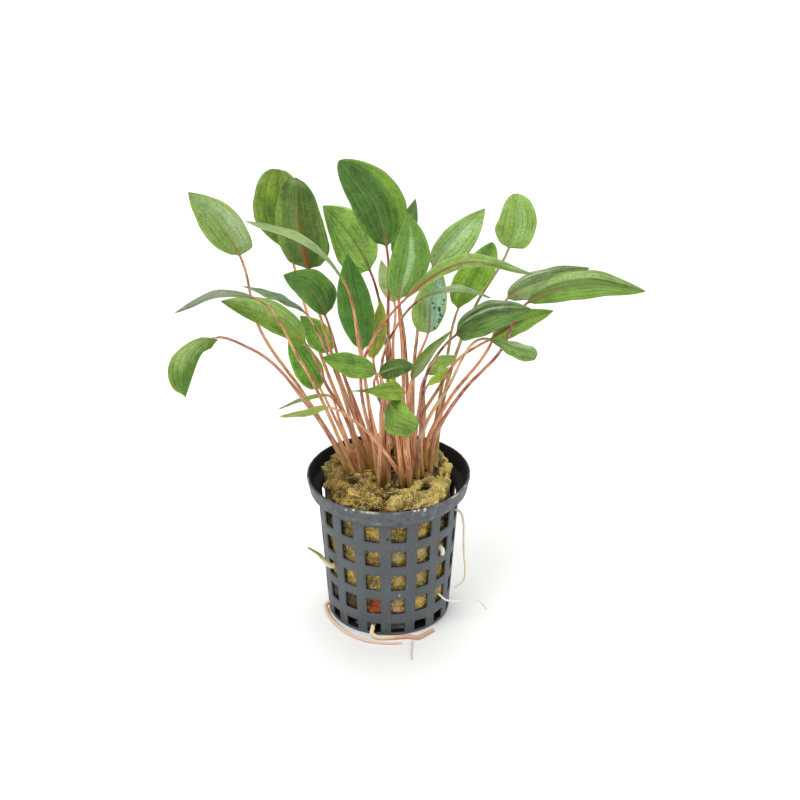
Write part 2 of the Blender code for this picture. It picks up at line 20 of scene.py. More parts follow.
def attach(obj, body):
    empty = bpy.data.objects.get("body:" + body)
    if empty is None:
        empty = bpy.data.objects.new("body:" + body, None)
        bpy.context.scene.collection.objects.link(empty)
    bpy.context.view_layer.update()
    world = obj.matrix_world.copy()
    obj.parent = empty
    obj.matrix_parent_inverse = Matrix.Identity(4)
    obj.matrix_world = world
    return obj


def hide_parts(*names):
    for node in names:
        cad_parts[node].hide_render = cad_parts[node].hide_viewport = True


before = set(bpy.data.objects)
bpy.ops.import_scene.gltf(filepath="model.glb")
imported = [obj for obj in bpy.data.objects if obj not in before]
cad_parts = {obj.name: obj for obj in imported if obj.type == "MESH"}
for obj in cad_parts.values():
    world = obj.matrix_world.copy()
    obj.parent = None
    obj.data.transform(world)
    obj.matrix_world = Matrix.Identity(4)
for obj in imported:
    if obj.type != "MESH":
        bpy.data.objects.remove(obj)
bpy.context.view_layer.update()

LOG = logging.getLogger("potted_cryptocoryne")

Point = tuple[float, float, float]
Socket = bpy.types.NodeSocket
Colour = Socket | str
# A share: a socket, a number, or a value with the marks where its smooth mask is 0 and 1.
Factor = Socket | float | tuple[Socket, float, float]
Links = dict[int | str, object]

MM = 0.001
BODY = "root"
# Points of a skin that are closer than this, in millimetres, become one.
MERGE = 1e-5
# Where the photograph was taken from, and the sine and cosine of how far its view looks down.
EYE = Vector((3.83, -664.7, 426.5))
LOOK_DOWN = (0.4633, 0.8862)


class Slot(Enum):
    """The record's material slots."""

    POT = "slate_plastic"
    WOOL = "rock_wool_fibre"
    CROWN = "rootstock"
    LEAF = "leaf"
    ROOT = "root_cream"
    SHOOT = "shoot_lime"


class Side(Enum):
    """Which face of a leaf the photographer sees."""

    UPPER = 1
    UNDER = -1


def linear(code: str) -> tuple[float, float, float, float]:
    """Turn an sRGB hex colour into a linear one.

    Args:
        code: Six hex digits after a hash sign.

    Returns:
        Linear red, green, blue and an alpha of 1.
    """
    parts = [int(code[place:place + 2], 16) / 255 for place in (1, 3, 5)]
    bent = [part / 12.92 if part <= 0.04045 else ((part + 0.055) / 1.055) ** 2.4 for part in parts]
    return (bent[0], bent[1], bent[2], 1.0)


def smoothstep(low: float, high: float, value: float) -> float:
    """Return 0 below low, 1 above high and a smooth rise between them."""
    share = min(max((value - low) / (high - low), 0.0), 1.0)
    return share * share * (3 - 2 * share)


@dataclass(frozen=True)
class Spot:
    """A stained place on a round side: degrees right of the front, height, reach and colour."""

    turn: float
    height: float
    reach: float
    colour: str


class Palette:
    """A material under construction, with the coat of colour that is on it so far."""

    # How much of its own colour a spot shows, and where its rim is full, in shares of its fade.
    SPOT_SHARE = 0.9
    SPOT_INSET = 0.25

    def __init__(self, name: str) -> None:
        """Start an empty material.

        Args:
            name: The finish's name.
        """
        self.material = bpy.data.materials.new(name)
        self.material.use_nodes = True
        self.tree = self.material.node_tree
        self.tree.nodes.clear()
        self.coat: Colour | None = None

    def add(self, kind: str, links: Links | None = None, out: int = 0,
            **settings: object) -> Socket | None:
        """Add one node with its settings and links.

        Args:
            kind: The node's type name, without its ShaderNode prefix.
            links: For each input, by number or name, a socket, a plain value or a hex colour.
            out: The number of the output to return.
            settings: The node's own properties.

        Returns:
            The chosen output socket, or None where the node has none.
        """
        node = self.tree.nodes.new("ShaderNode" + kind)
        for name, value in settings.items():
            setattr(node, name, value)
        for name, value in (links or {}).items():
            if isinstance(value, Socket):
                self.tree.links.new(value, node.inputs[name])
            else:
                node.inputs[name].default_value = linear(value) if isinstance(value, str) else value
        return node.outputs[out] if len(node.outputs) else None

    def where(self, *factors: Factor) -> Socket | float:
        """Multiply shares and smooth masks into one share.

        Args:
            factors: The shares; one of three parts is a value, where its mask is 0 and where 1.

        Returns:
            Their product.
        """
        product: Socket | float | None = None
        for factor in factors:
            if isinstance(factor, tuple):
                factor = self.add("MapRange", dict(enumerate(factor)),
                                  interpolation_type="SMOOTHSTEP")
            if product is None:
                product = factor
            else:
                product = self.add("Math", {0: product, 1: factor}, operation="MULTIPLY")
        return product

    def blend(self, first: Colour, second: Colour, *factors: Factor, how: str = "MIX") -> Socket:
        """Put a second colour over a first one.

        Args:
            first: The colour below.
            second: The colour above.
            factors: What its share is made of; see where.
            how: How it meets the one below.

        Returns:
            The colour of both.
        """
        links = {0: self.where(*factors), 6: first, 7: second}
        return self.add("Mix", links, 2, data_type="RGBA", blend_type=how)

    def lay(self, colour: Colour, *factors: Factor, how: str = "MIX") -> None:
        """Lay a colour over the coat; see blend."""
        self.coat = self.blend(self.coat, colour, *factors, how=how)

    def stain(self, space: Socket, stir: Socket, spot: Spot, radius: float, soft: float) -> None:
        """Lay one round spot over the coat.

        Args:
            space: The object's own coordinates.
            stir: Metres that make its rim uneven.
            spot: The spot.
            radius: How far from the upright axis the surface is there, in millimetres.
            soft: How wide its rim fades, in millimetres.
        """
        turn = radians(spot.turn)
        middle = Vector((sin(turn) * radius, -cos(turn) * radius, spot.height)) * MM
        away = self.add("VectorMath", {0: space, 1: middle}, 1, operation="DISTANCE")
        far = self.add("Math", {0: stir, 1: away}, operation="ADD")
        near = (far, (spot.reach + soft) * MM, (spot.reach - self.SPOT_INSET * soft) * MM)
        self.lay(spot.colour, near, self.SPOT_SHARE)

    def finish(self, links: Links, bump: Socket | None = None,
               depth: float = 0.1) -> bpy.types.Material:
        """Put the coat on the surface shader and close the material.

        Args:
            links: The shader's other inputs.
            bump: A height for fine relief, if any.
            depth: How deep that relief is, in millimetres.

        Returns:
            The finished material.
        """
        if self.coat is not None:
            links["Base Color"] = self.coat
        if bump is not None:
            links["Normal"] = self.add("Bump", {"Height": bump, "Distance": depth * MM,
                                                "Strength": 1.0})
        self.add("OutputMaterial", {"Surface": self.add("BsdfPrincipled", links)})
        return self.material


def place_piece(bm: bmesh.types.BMesh, name: str, material: bpy.types.Material, slot: Slot,
                nodes: Iterable[str]) -> bpy.types.Object:
    """Turn a closed bmesh in millimetres into a finished piece.

    Args:
        bm: The shape, which is used up.
        name: The piece's name.
        material: Its finish.
        slot: The record's slot that the finish belongs to; not used.
        nodes: The CAD nodes that it stands for.

    Returns:
        The piece's object, at the origin.
    """
    bmesh.ops.recalc_face_normals(bm, faces=bm.faces)
    if bm.calc_volume(signed=True) < 0:
        bmesh.ops.reverse_faces(bm, faces=bm.faces)
    bmesh.ops.scale(bm, vec=(MM, MM, MM), verts=bm.verts)
    mesh = bpy.data.meshes.new(name)
    bm.to_mesh(mesh)
    bm.free()
    mesh.shade_smooth()
    mesh.materials.append(material)
    piece = bpy.data.objects.new(name, mesh)
    bpy.context.scene.collection.objects.link(piece)
    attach(piece, BODY)
    if nodes:
        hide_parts(*nodes)
    LOG.info("%s: %d faces", name, len(mesh.polygons))
    return piece


def wrap_grid(around: int, along: int, place: Callable[[int, int], Vector],
              marks: dict[str, Callable[[int, int], Point]]) -> bmesh.types.BMesh:
    """Wrap a grid into one closed skin.

    The grid's columns run round the shape and its rows along it. The seam is merged, rows that
    lie in one point become a pole, and an open end is capped.

    Args:
        around: Columns of faces.
        along: Rows of faces.
        place: Gives the place of a column and row.
        marks: Vector attributes, each with what gives its value at a column and row.

    Returns:
        The closed bmesh, in millimetres.
    """
    bm = bmesh.new()
    bmesh.ops.create_grid(bm, x_segments=around, y_segments=along, size=1.0)
    layers = {name: bm.verts.layers.float_vector.new(name) for name in marks}
    for vert in bm.verts:
        column = round((vert.co.x + 1) / 2 * around)
        row = round((vert.co.y + 1) / 2 * along)
        for name, layer in layers.items():
            vert[layer] = marks[name](column, row)
        vert.co = place(column % around, row)
    bmesh.ops.remove_doubles(bm, verts=bm.verts, dist=MERGE)
    rims = [edge for edge in bm.edges if edge.is_boundary]
    if rims:
        bmesh.ops.holes_fill(bm, edges=rims, sides=0)
    return bm


# Steps between one given point of a route and the next.
PATH_PIECES = 14


def smooth_path(points: Sequence[Vector], pieces: Sequence[int] = ()) -> list[Vector]:
    """Return close points along one smooth curve through the given points.

    Args:
        points: What the curve passes through.
        pieces: How many steps each gap takes, or nothing for the usual number.

    Returns:
        The curve's points, from first to last.
    """
    steps = pieces or [PATH_PIECES] * (len(points) - 1)
    gaps = [(after - before).length for before, after in zip(points, points[1:])]
    slopes = [(points[1] - points[0]) / gaps[0]]
    for number in range(1, len(points) - 1):
        before = (points[number] - points[number - 1]) / gaps[number - 1]
        after = (points[number + 1] - points[number]) / gaps[number]
        share = gaps[number - 1] / (gaps[number - 1] + gaps[number])
        slopes.append(before.lerp(after, share))
    slopes.append((points[-1] - points[-2]) / gaps[-1])
    path = []
    for number, gap in enumerate(gaps):
        for piece in range(steps[number]):
            t = piece / steps[number]
            path.append(
                points[number] * (2 * t**3 - 3 * t**2 + 1)
                + slopes[number] * gap * (t**3 - 2 * t**2 + t)
                + points[number + 1] * (3 * t**2 - 2 * t**3)
                + slopes[number + 1] * gap * (t**3 - t**2)
            )
    path.append(points[-1])
    return path


@dataclass
class Route:
    """Stations along a path, each with its place, direction and distance from the start."""

    places: list[Vector] = field(default_factory=list)
    directions: list[Vector] = field(default_factory=list)
    runs: list[float] = field(default_factory=list)

    @classmethod
    def along(cls, path: Sequence[Vector], shares: Sequence[float]) -> "Route":
        """Find the stations at the given shares of a path's length.

        Args:
            path: Close points along a curve.
            shares: Rising shares of its length, 0 to 1.

        Returns:
            The route.
        """
        lengths = [0.0]
        for before, after in zip(path, path[1:]):
            lengths.append(lengths[-1] + (after - before).length)
        route = cls()
        number = 0
        for share in shares:
            target = share * lengths[-1]
            while number < len(path) - 2 and lengths[number + 1] < target:
                number += 1
            part = (target - lengths[number]) / (lengths[number + 1] - lengths[number])
            before = path[number] - path[max(number - 1, 0)]
            here = path[number + 1] - path[number]
            after = path[min(number + 2, len(path) - 1)] - path[number + 1]
            start = (before + here).normalized()
            end = (here + after).normalized()
            route.places.append(path[number].lerp(path[number + 1], part))
            route.directions.append(start.lerp(end, part).normalized())
            route.runs.append(target)
        return route


def carry_sides(side: Vector, directions: Iterable[Vector]) -> list[tuple[Vector, Vector]]:
    """Carry a side vector along a path without twist.

    Args:
        side: Where it points at first.
        directions: The path's direction at each station.

    Returns:
        At each station the side, and the vector square to it and to the path.
    """
    frames = []
    for direction in directions:
        side = (side - direction * side.dot(direction)).normalized()
        frames.append((side, direction.cross(side)))
    return frames


@dataclass(frozen=True)
class Patch:
    """A soft patch of another colour on a blade: its middle, reach, colour and strength.

    Most are painted sheens and painted fold shade; a few are the leaf's own spots and tones.
    Across runs from -1 at the left margin to 1 at the right one, along from 0 at the neck to 1.
    """

    across: float
    along: float
    wide: float
    long: float
    colour: str
    share: float = 0.7


@dataclass(frozen=True)
class LeafTissue:
    """Living leaf: waxy skin over green tissue, with arcing side veins and a sappy midrib.

    The wax gives a soft broad shine, the thin margins let light through and look yellower.
    """

    blade: str
    shade: str
    margin: str
    rib: str
    stalk: str
    under: str = "#8FA06A"
    edge: str = "#868A52"
    stalk_low: str = "#B39246"
    stalk_highlight: str = "#FFCDA0"
    stalk_shade_line: str = "#74291E"
    # How far the petiole's painted shade lines spread over its painted highlight lines.
    sap: float = 0.0
    rib_width: float = 0.42
    rib_share: float = 0.6
    # How strong the painted highlight and painted shade bands for the folds' shading are; streaks
    # is the fibres' own tone.
    folds: float = 0.3
    streaks: float = 0.3
    patches: tuple[Patch, ...] = ()
    specks: bool = False
    roughness: float = 0.4

    def material(self, name: str) -> bpy.types.Material:
        """Build the finish of one leaf, which reads the leaf's own lamina and span attributes."""
        return LeafCoat(name, self).dress()


# Side veins leave the midrib near the neck and run in arcs to the tip, at these shares across.
VEINS = (0.3, 0.57, 0.81)


class LeafCoat(Palette):
    """One leaf's finish under construction: what its layers share, and the layers."""

    # Cross veinlets are about 0.5 mm apart; they are drawn 1.1 mm apart so that they show.
    VEINLET_MM = 1.1
    # Painted shade tint: what the colour is multiplied by in full shadow in the fold bands,
    # between the fibres and in flecks; the side veins are darkened by it too.
    SHADE_TINT = "#7C8A6A"
    SPECK = "#1E3A2C"
    DRY_TIP = "#5A4A2C"

    def __init__(self, name: str, tissue: LeafTissue) -> None:
        """Read the leaf's attributes and add the noises of its skin.

        Args:
            name: The finish's name.
            tissue: The leaf's colours and patterns.
        """
        super().__init__(name)
        self.tissue = tissue
        lamina = self.add("Attribute", attribute_name="lamina", out=1)
        span = self.add("Attribute", attribute_name="span", out=1)
        self.across, self.along, self.under = (
            self.add("SeparateXYZ", {0: lamina}, out) for out in range(3))
        self.reach, self.run, self.drift = (
            self.add("SeparateXYZ", {0: span}, out) for out in range(3))
        self.side = self.add("Math", {0: self.across}, operation="ABSOLUTE")
        self.space = space = self.add("TexCoord", out=3)
        self.mottle = self.add("TexNoise", {0: space, "Scale": 160.0, "Detail": 3.0})
        self.fleck = self.add("TexNoise", {0: space, "Scale": 420.0, "Detail": 4.0,
                                           "Roughness": 0.62})
        self.fine = self.add("TexNoise", {0: space, "Scale": 1500.0, "Detail": 2.0})

    def dress(self) -> bpy.types.Material:
        """Lay the colours of blade and petiole one over the other.

        Returns:
            The finished material.
        """
        tissue = self.tissue
        cloud = (self.mottle, 0.35, 0.68)
        upper = self.blend(tissue.blade, tissue.shade, cloud)
        lower = self.blend(tissue.under, tissue.shade, cloud)
        self.coat = self.blend(upper, lower, (self.under, 0.5, 0.9))
        for patch in tissue.patches:
            self.lay_patch(patch)
        # Painted highlight in the margin colour and painted shade in broad lengthwise bands, for
        # the folds' shading; fibres and flecks get finer pale and dark marks the same way.
        folds = self.lengthwise(2.6, 0.9)
        fibres = self.lengthwise(10.0, 2.6)
        for value, strength in ((folds, tissue.folds), (fibres, tissue.streaks), (self.fleck, 0.2)):
            self.lay(tissue.margin, (value, 0.5, 0.68), strength)
            self.lay(self.SHADE_TINT, (value, 0.5, 0.32), strength, how="MULTIPLY")
        if tissue.specks:
            self.lay_specks()
        veins = self.where(self.vein_lines(), (self.mottle, 0.3, 0.65))
        veinlets = self.veinlet_lines()
        self.lay(tissue.margin, veinlets, 0.22, self.fleck)
        grey = self.add("MapRange", {0: self.fine, 1: 0.3, 2: 0.7})
        self.lay(self.add("CombineXYZ", {0: grey, 1: grey, 2: grey}), 0.22, how="OVERLAY")
        self.lay(self.SHADE_TINT, veins, 0.4, how="MULTIPLY")
        self.lay_edge_and_rib()
        self.lay_stalk()
        rough = self.add("MapRange", {0: self.fine, 3: tissue.roughness - 0.06,
                                      4: tissue.roughness + 0.1})
        height = self.where(self.fleck, 1.6)
        for value, rise in ((veinlets, -0.35), (fibres, 1.4)):
            height = self.add("Math", {0: value, 1: rise, 2: height}, operation="MULTIPLY_ADD")
        height = self.add("Math", {0: height, 1: veins}, operation="SUBTRACT")
        return self.finish({
            "Roughness": rough,
            "IOR": 1.42,
            "Subsurface Weight": 0.18,
            "Subsurface Radius": (0.7, 1.0, 0.25),
            "Subsurface Scale": 0.8 * MM,
        }, self.where(height, (self.along, -0.01, 0.03)), 0.13)

    def shake(self, value: Socket, grain: Socket, amount: float) -> Socket:
        """Make a value uneven by a noise that lies about one half."""
        swing = self.add("Math", {0: grain, 1: 0.5}, operation="SUBTRACT")
        return self.add("Math", {0: swing, 1: amount, 2: value}, operation="MULTIPLY_ADD")

    def lengthwise(self, fineness: float, breaks: float) -> Socket:
        """Return noise drawn out along the leaf, for its fibres and its painted fold shading."""
        flow = self.add("CombineXYZ", {0: self.where(self.across, fineness),
                                       1: self.where(self.along, breaks), 2: self.drift})
        return self.add("TexNoise", {0: flow, "Scale": 2.0, "Detail": 3.0, "Roughness": 0.55})

    def lay_patch(self, patch: Patch) -> None:
        """Lay one soft patch, painted sheen, painted shade and own tone alike, with a slightly
        uneven rim.
        """
        parts = []
        for value, middle, reach in ((self.across, patch.across, patch.wide),
                                     (self.along, patch.along, patch.long)):
            away = self.add("Math", {0: value, 1: middle}, operation="SUBTRACT")
            parts.append(self.add("Math", {0: away, 1: reach}, operation="DIVIDE"))
        flat = self.add("CombineXYZ", dict(enumerate(parts)))
        far = self.add("VectorMath", {0: flat}, 1, operation="LENGTH")
        self.lay(patch.colour, (self.shake(far, self.mottle, 0.9), 1.15, 0.35), patch.share)

    def lay_specks(self) -> None:
        """Scatter dark specks over the right half, low on the blade."""
        cells = self.add("TexVoronoi", {0: self.space, "Scale": 700.0})
        place = self.add("TexNoise", {0: self.space, "Scale": 260.0})
        self.lay(self.SPECK, (cells, 0.42, 0.26), (place, 0.42, 0.5),
                 (self.across, -0.15, 0.1), (self.along, 0.8, 0.6))

    def vein_lines(self) -> Socket:
        """Return a mask of the side veins, which fade before the tip."""
        lines: Socket | float = 0.0
        for place in VEINS:
            away = self.add("Math", {0: self.side, 1: place}, operation="SUBTRACT")
            away = self.add("Math", {0: away}, operation="ABSOLUTE")
            lines = self.add("Math", {0: self.where((away, 0.045, 0.0)), 1: lines},
                             operation="MAXIMUM")
        return self.where(lines, (self.along, 0.02, 0.12), (self.along, 1.0, 0.8))

    def veinlet_lines(self) -> Socket:
        """Return a mask of the cross veinlets, which slant forward from the midrib."""
        reach = self.add("Math", {0: self.reach}, operation="ABSOLUTE")
        slant = self.add("Math", {0: reach, 1: -0.55, 2: self.run}, operation="MULTIPLY_ADD")
        slant = self.add("Math", {0: self.fleck, 1: 0.5, 2: slant}, operation="MULTIPLY_ADD")
        waves = self.where(slant, 2 * pi / self.VEINLET_MM)
        return self.where((self.add("Math", {0: waves}, operation="SINE"), 0.55, 1.0))

    def lay_edge_and_rib(self) -> None:
        """Lay the light uneven rim, the thin edge, the midrib with its sap and the dry tip."""
        tissue = self.tissue
        self.lay(tissue.margin, (self.shake(self.side, self.fleck, 0.5), 0.76, 1.0), 0.65)
        self.lay(tissue.edge, (self.side, 0.95, 1.0), 0.7)
        width = self.add("Math", {0: self.along, 1: -0.7 * tissue.rib_width, 2: tissue.rib_width},
                         operation="MULTIPLY_ADD")
        away = self.add("Math", {0: self.reach}, operation="ABSOLUTE")
        away = self.add("Math", {0: away, 1: width}, operation="DIVIDE")
        sap = self.blend(tissue.stalk, tissue.rib, (self.along, 0.02, 0.3))
        self.lay(sap, (away, 1.4, 0.5), (self.along, 1.1, 0.2), tissue.rib_share)
        self.lay(self.DRY_TIP, (self.along, 0.965, 0.995), 0.5)

    def lay_stalk(self) -> None:
        """Colour the petiole: painted shade and painted highlight lines along it, paler clouds,
        painted light low down and a golden foot.
        """
        tissue, sap = self.tissue, self.tissue.sap
        lines = self.add("CombineXYZ", {0: self.where(self.across, 1.6),
                                        1: self.where(self.reach, 1.6),
                                        2: self.where(self.run, 0.06)})
        lines = self.add("TexNoise", {0: lines, "Scale": 2.3, "Detail": 3.0})
        cloud = self.add("CombineXYZ", {0: self.across, 1: self.reach,
                                        2: self.where(self.run, 0.25)})
        cloud = self.add("TexNoise", {0: cloud, "Scale": 1.1, "Detail": 3.0})
        light = self.blend(tissue.stalk_highlight, tissue.stalk, 0.3)
        dark = self.blend(tissue.stalk_shade_line, tissue.stalk, 0.4)
        low = self.shake(self.along, lines, 0.5)
        blade = self.coat
        self.coat = tissue.stalk
        # Painted light over the petiole's lower part, against the shade in the dense bunch of
        # petioles.
        self.lay(light, (self.along, -0.1, -0.7), 0.45)
        # Painted shade and painted highlight in lengthwise lines, for the petiole's shaded and lit
        # sides.
        self.lay(dark, (lines, 0.5 - sap, 0.58 - sap), 0.8)
        self.lay(light, (lines, 0.49 - sap, 0.42 - sap), 0.95)
        # Random paler clouds in the highlight colour.
        self.lay(light, (cloud, 0.5, 0.64), 0.6)
        self.lay(tissue.stalk_low, (low, -0.72, -0.95), 0.75)
        self.coat = self.blend(blade, self.coat, (self.along, 0.045, -0.01))


# How one blade's skin is sampled across each half, closer near the midrib and the side veins.
HALF_ROW = (0.0, 0.045, 0.1, 0.17, 0.24, 0.3, 0.36, 0.45, 0.52, 0.57, 0.62, 0.72, 0.81, 0.9, 1.0)
ROW = tuple(-place for place in reversed(HALF_ROW[1:])) + HALF_ROW
RING = 2 * (len(ROW) - 1)
PETIOLE_ROWS = 36
BLADE_ROWS = 64
CROWN_TOP = 49.7
# Between neighbours, so that they don't touch.
GAP = 0.3
# How far from a crown's middle its outer petioles stand.
RING_RADIUS = 2.35
CROWNS = {
    "left": (-9.5, -1.0),
    "back_left": (-3.5, 3.5),
    "front_left": (-1.5, -5.5),
    "back_right": (6.0, 3.0),
    "front_right": (7.0, -6.0),
    "right": (12.2, -0.6),
}


@dataclass
class Leaf:
    """One leaf: petiole and blade grown as one, swept from its foot on the crown to its tip."""

    name: str
    crown: str
    stalk: list[Point]
    neck: Point
    belly: Point
    tip: Point
    left: Point
    right: Point
    tissue: LeafTissue
    tip_power: float = 0.85
    base_power: float = 0.65
    widest: float = 0.42
    lean: float = 0.0
    shows: Side = Side.UPPER
    curl: float = 0.0
    dome: float = 0.09
    wave: float = 0.22
    ragged: float = 0.03
    ears: tuple[float, float] = (0.0, 0.0)

    FOOT_RADIUS = 0.8
    NECK_RADIUS = 0.4
    FOOT_DEPTH = 1.5
    SHEATH_MM = 11.0
    SHEATH_SPREAD = 0.6
    SKIN = 0.15
    RIB_DEPTH = 0.45
    # Up to this share of the blade, the petiole's round skin turns into the blade's flat one.
    MORPH = 0.08
    # The share of the blade where left and right, its half reaches, were read from the photo.
    BELLY = 0.36
    # How much of the rows' spacing is even; the rest draws them together at neck and tip.
    EVEN = 0.65
    GROOVE = 0.22
    KNOTS = 0.07
    WAVES = 3.1
    SAG = 0.5
    VEIN_DEPTH = 0.07
    VEIN_WIDTH = 0.035
    CLOSING = 0.04
    EAR_LENGTH = 0.1
    # Run marks of the petiole start here, so that they differ from the blade's.
    PETIOLE_START = -100.0

    def width(self, share: float, side: int) -> float:
        """Return how wide one half is at a share of the blade's length, 1 at its widest.

        Args:
            share: 0 at the neck, 1 at the tip.
            side: -1 for the left half, 1 for the right, whose base is squarer by the leaf's lean.

        Returns:
            The share of the half's full reach.
        """
        if share < self.widest:
            power = self.base_power * (1 - side * self.lean)
            return max(sin(pi / 2 * share / self.widest), 0.0) ** power
        return max(cos(pi / 2 * (share - self.widest) / (1 - self.widest)), 0.0) ** self.tip_power

    def build(self, foot: Vector) -> bpy.types.Object:
        """Make the leaf.

        Args:
            foot: Where its petiole stands on the crown.

        Returns:
            The finished piece.
        """
        stalk = [Vector(point) for point in self.stalk]
        path = smooth_path([foot, *stalk, Vector(self.neck), Vector(self.belly), Vector(self.tip)])
        neck_place = PATH_PIECES * (len(stalk) + 1)
        steps = [row / PETIOLE_ROWS for row in range(PETIOLE_ROWS)]
        sunk = [foot - Vector((0, 0, self.FOOT_DEPTH))] + path[:neck_place + 1]
        self.petiole = Route.along(sunk, steps)
        steps = [row / BLADE_ROWS for row in range(BLADE_ROWS + 1)]
        self.shares = [self.EVEN * step + (1 - self.EVEN) * (1 - cos(pi * step)) / 2
                       for step in steps]
        self.blade = Route.along(path[neck_place:], self.shares)
        self.set_frames()
        bm = wrap_grid(RING, PETIOLE_ROWS + BLADE_ROWS, self.skin_place,
                       {"lamina": self.lamina_mark, "span": self.span_mark})
        return place_piece(bm, self.name + "_leaf", self.tissue.material("tissue_" + self.name),
                           Slot.LEAF, ["leaf_" + self.name])

    def set_frames(self) -> None:
        """Work out which way the skin faces at each station, from the neck out and down."""
        left = Vector(self.left)
        right = Vector(self.right)
        middle = min(range(len(self.shares)), key=lambda row: abs(self.shares[row] - self.BELLY))
        belly_direction = self.blade.directions[middle]
        self.reaches = []
        for direction in self.blade.directions:
            turn = belly_direction.rotation_difference(direction)
            to_left = turn @ left
            to_right = turn @ right
            upward = direction.cross((to_right - to_left).normalized()).normalized()
            self.reaches.append((to_left, to_right, upward))
        to_eye = EYE - self.blade.places[middle]
        faces_eye = 1 if self.reaches[middle][2].dot(to_eye) > 0 else -1
        self.upper = faces_eye * self.shows.value
        side = (self.reaches[0][1] - self.reaches[0][0]).normalized()
        self.sides = carry_sides(side, reversed(self.petiole.directions))[::-1]
        self.drift = noise.noise(Vector(self.belly) * 0.37) * 20

    def skin_place(self, column: int, row: int) -> Vector:
        """Return the place of one point of the skin."""
        if row < PETIOLE_ROWS:
            return self.petiole_place(column, row)
        station = row - PETIOLE_ROWS
        share = self.shares[station]
        blade = self.blade_place(column, station)
        if share >= self.MORPH:
            return blade
        to_left, to_right, upward = self.reaches[station]
        side = (to_right - to_left).normalized()
        turn = self.ring_turn(column)
        out = side * cos(turn) + upward * sin(turn) * self.groove(turn)
        ring = self.blade.places[station] + out * self.NECK_RADIUS
        return ring.lerp(blade, smoothstep(0.0, self.MORPH, share))

    def ring_turn(self, column: int) -> float:
        """Return a column's turn round the petiole, from its left side over the top."""
        return pi - 2 * pi * column / RING

    def groove(self, turn: float) -> float:
        """Return the petiole's radius at a turn, less in the groove along its upper side."""
        away = (sin(turn) * self.upper + 1) / 2
        return 1 - self.GROOVE * smoothstep(0.86, 1.0, away)

    def petiole_place(self, column: int, row: int) -> Vector:
        """Return one point of the petiole's skin, spread into a sheath near its foot."""
        place = self.petiole.places[row]
        side, upward = self.sides[row]
        run = self.petiole.runs[row]
        share = row / PETIOLE_ROWS
        radius = self.FOOT_RADIUS + (self.NECK_RADIUS - self.FOOT_RADIUS) * share
        radius *= 1 + self.KNOTS * noise.noise(Vector((run * 0.12, self.drift, 0.5)))
        sheath = exp(-((run / self.SHEATH_MM) ** 2))
        turn = self.ring_turn(column)
        wide = radius * (1 + self.SHEATH_SPREAD * sheath)
        deep = radius * (1 + 0.1 * sheath) * self.groove(turn)
        return place + side * cos(turn) * wide + upward * sin(turn) * deep

    def row_place(self, column: int) -> tuple[float, int]:
        """Return where a column stands across the blade, and on which face."""
        last = len(ROW) - 1
        if column <= last:
            face = 0 if column in (0, last) else 1
            return ROW[column], face
        return ROW[RING - column], 0 if column == RING else -1

    def blade_place(self, column: int, station: int) -> Vector:
        """Return one point of the blade's skin."""
        across, face = self.row_place(column)
        share = self.shares[station]
        place = self.blade.places[station]
        direction = self.blade.directions[station]
        to_left, to_right, upward = self.reaches[station]
        reach = to_left if across < 0 else to_right
        side = abs(across)
        hand = -1 if across < 0 else 1
        uneven = 1 + self.ragged * noise.noise(Vector((share * 7, self.drift, 3.5 + 1.5 * hand)))
        half = reach.length * self.width(share, hand) * uneven + self.NECK_RADIUS * (1 - share)
        bend = max(self.curl, 0.02)
        out = half * sin(bend * side) / sin(bend)
        lift = half * ((1 - cos(bend * side)) - (1 - cos(bend)) * side) / sin(bend)
        lift += self.dome * half * sin(pi * side ** 0.8)
        swing = sin(2 * pi * self.WAVES * share + self.drift + (1.3 if across < 0 else 0.0))
        lift += self.wave * swing * side ** 2.4 * min(half / 5, 1.0)
        lift += self.SAG * noise.noise(place * 0.14 + reach * side * 0.14) * side
        for vein in VEINS:
            pressed = exp(-(((side - vein) / self.VEIN_WIDTH) ** 2))
            lift -= self.VEIN_DEPTH * pressed * min(half / 4, 1.0)
        closing = min((1 - share) / self.CLOSING, 1.0)
        rib_reach = 0.65 * (1 - 0.6 * share)
        rib = exp(-((half * side / rib_reach) ** 2)) * self.RIB_DEPTH * (1 - 0.65 * share) * closing
        skin = self.SKIN * (1 - 0.45 * side) * closing
        rise = lift * self.upper + face * skin
        if face == -self.upper:
            rise -= self.upper * rib
        elif face == self.upper:
            rise -= self.upper * rib * 0.3
        back = self.ears[0 if across < 0 else 1] * side ** 1.5 * exp(-share / self.EAR_LENGTH)
        return place + reach.normalized() * out + upward * rise - direction * back

    def lamina_mark(self, column: int, row: int) -> Point:
        """Return how far across and along the leaf a point is, and which face it is on."""
        if row < PETIOLE_ROWS:
            return (cos(self.ring_turn(column)), row / PETIOLE_ROWS - 1, 0.5)
        across, face = self.row_place(column)
        return (across, self.shares[row - PETIOLE_ROWS], 0.5 - 0.5 * face * self.upper)

    def span_mark(self, column: int, row: int) -> Point:
        """Return a point's distance from the midrib and from the neck, in millimetres."""
        if row < PETIOLE_ROWS:
            reach = self.NECK_RADIUS * sin(self.ring_turn(column))
            return (reach, self.petiole.runs[row] + self.PETIOLE_START, self.drift)
        station = row - PETIOLE_ROWS
        across = self.row_place(column)[0]
        hand = -1 if across < 0 else 1
        reach = self.reaches[station][0 if across < 0 else 1]
        half = reach.length * self.width(self.shares[station], hand) + self.NECK_RADIUS
        return (across * half, self.blade.runs[station], self.drift)


# How much more of each petiole in turn the painted shade lines cover, and the less the painted
# highlight lines.
SHADE_LINE_SHIFTS = cycle((0.0, 0.07, -0.05, 0.03, -0.02, 0.1, -0.07))


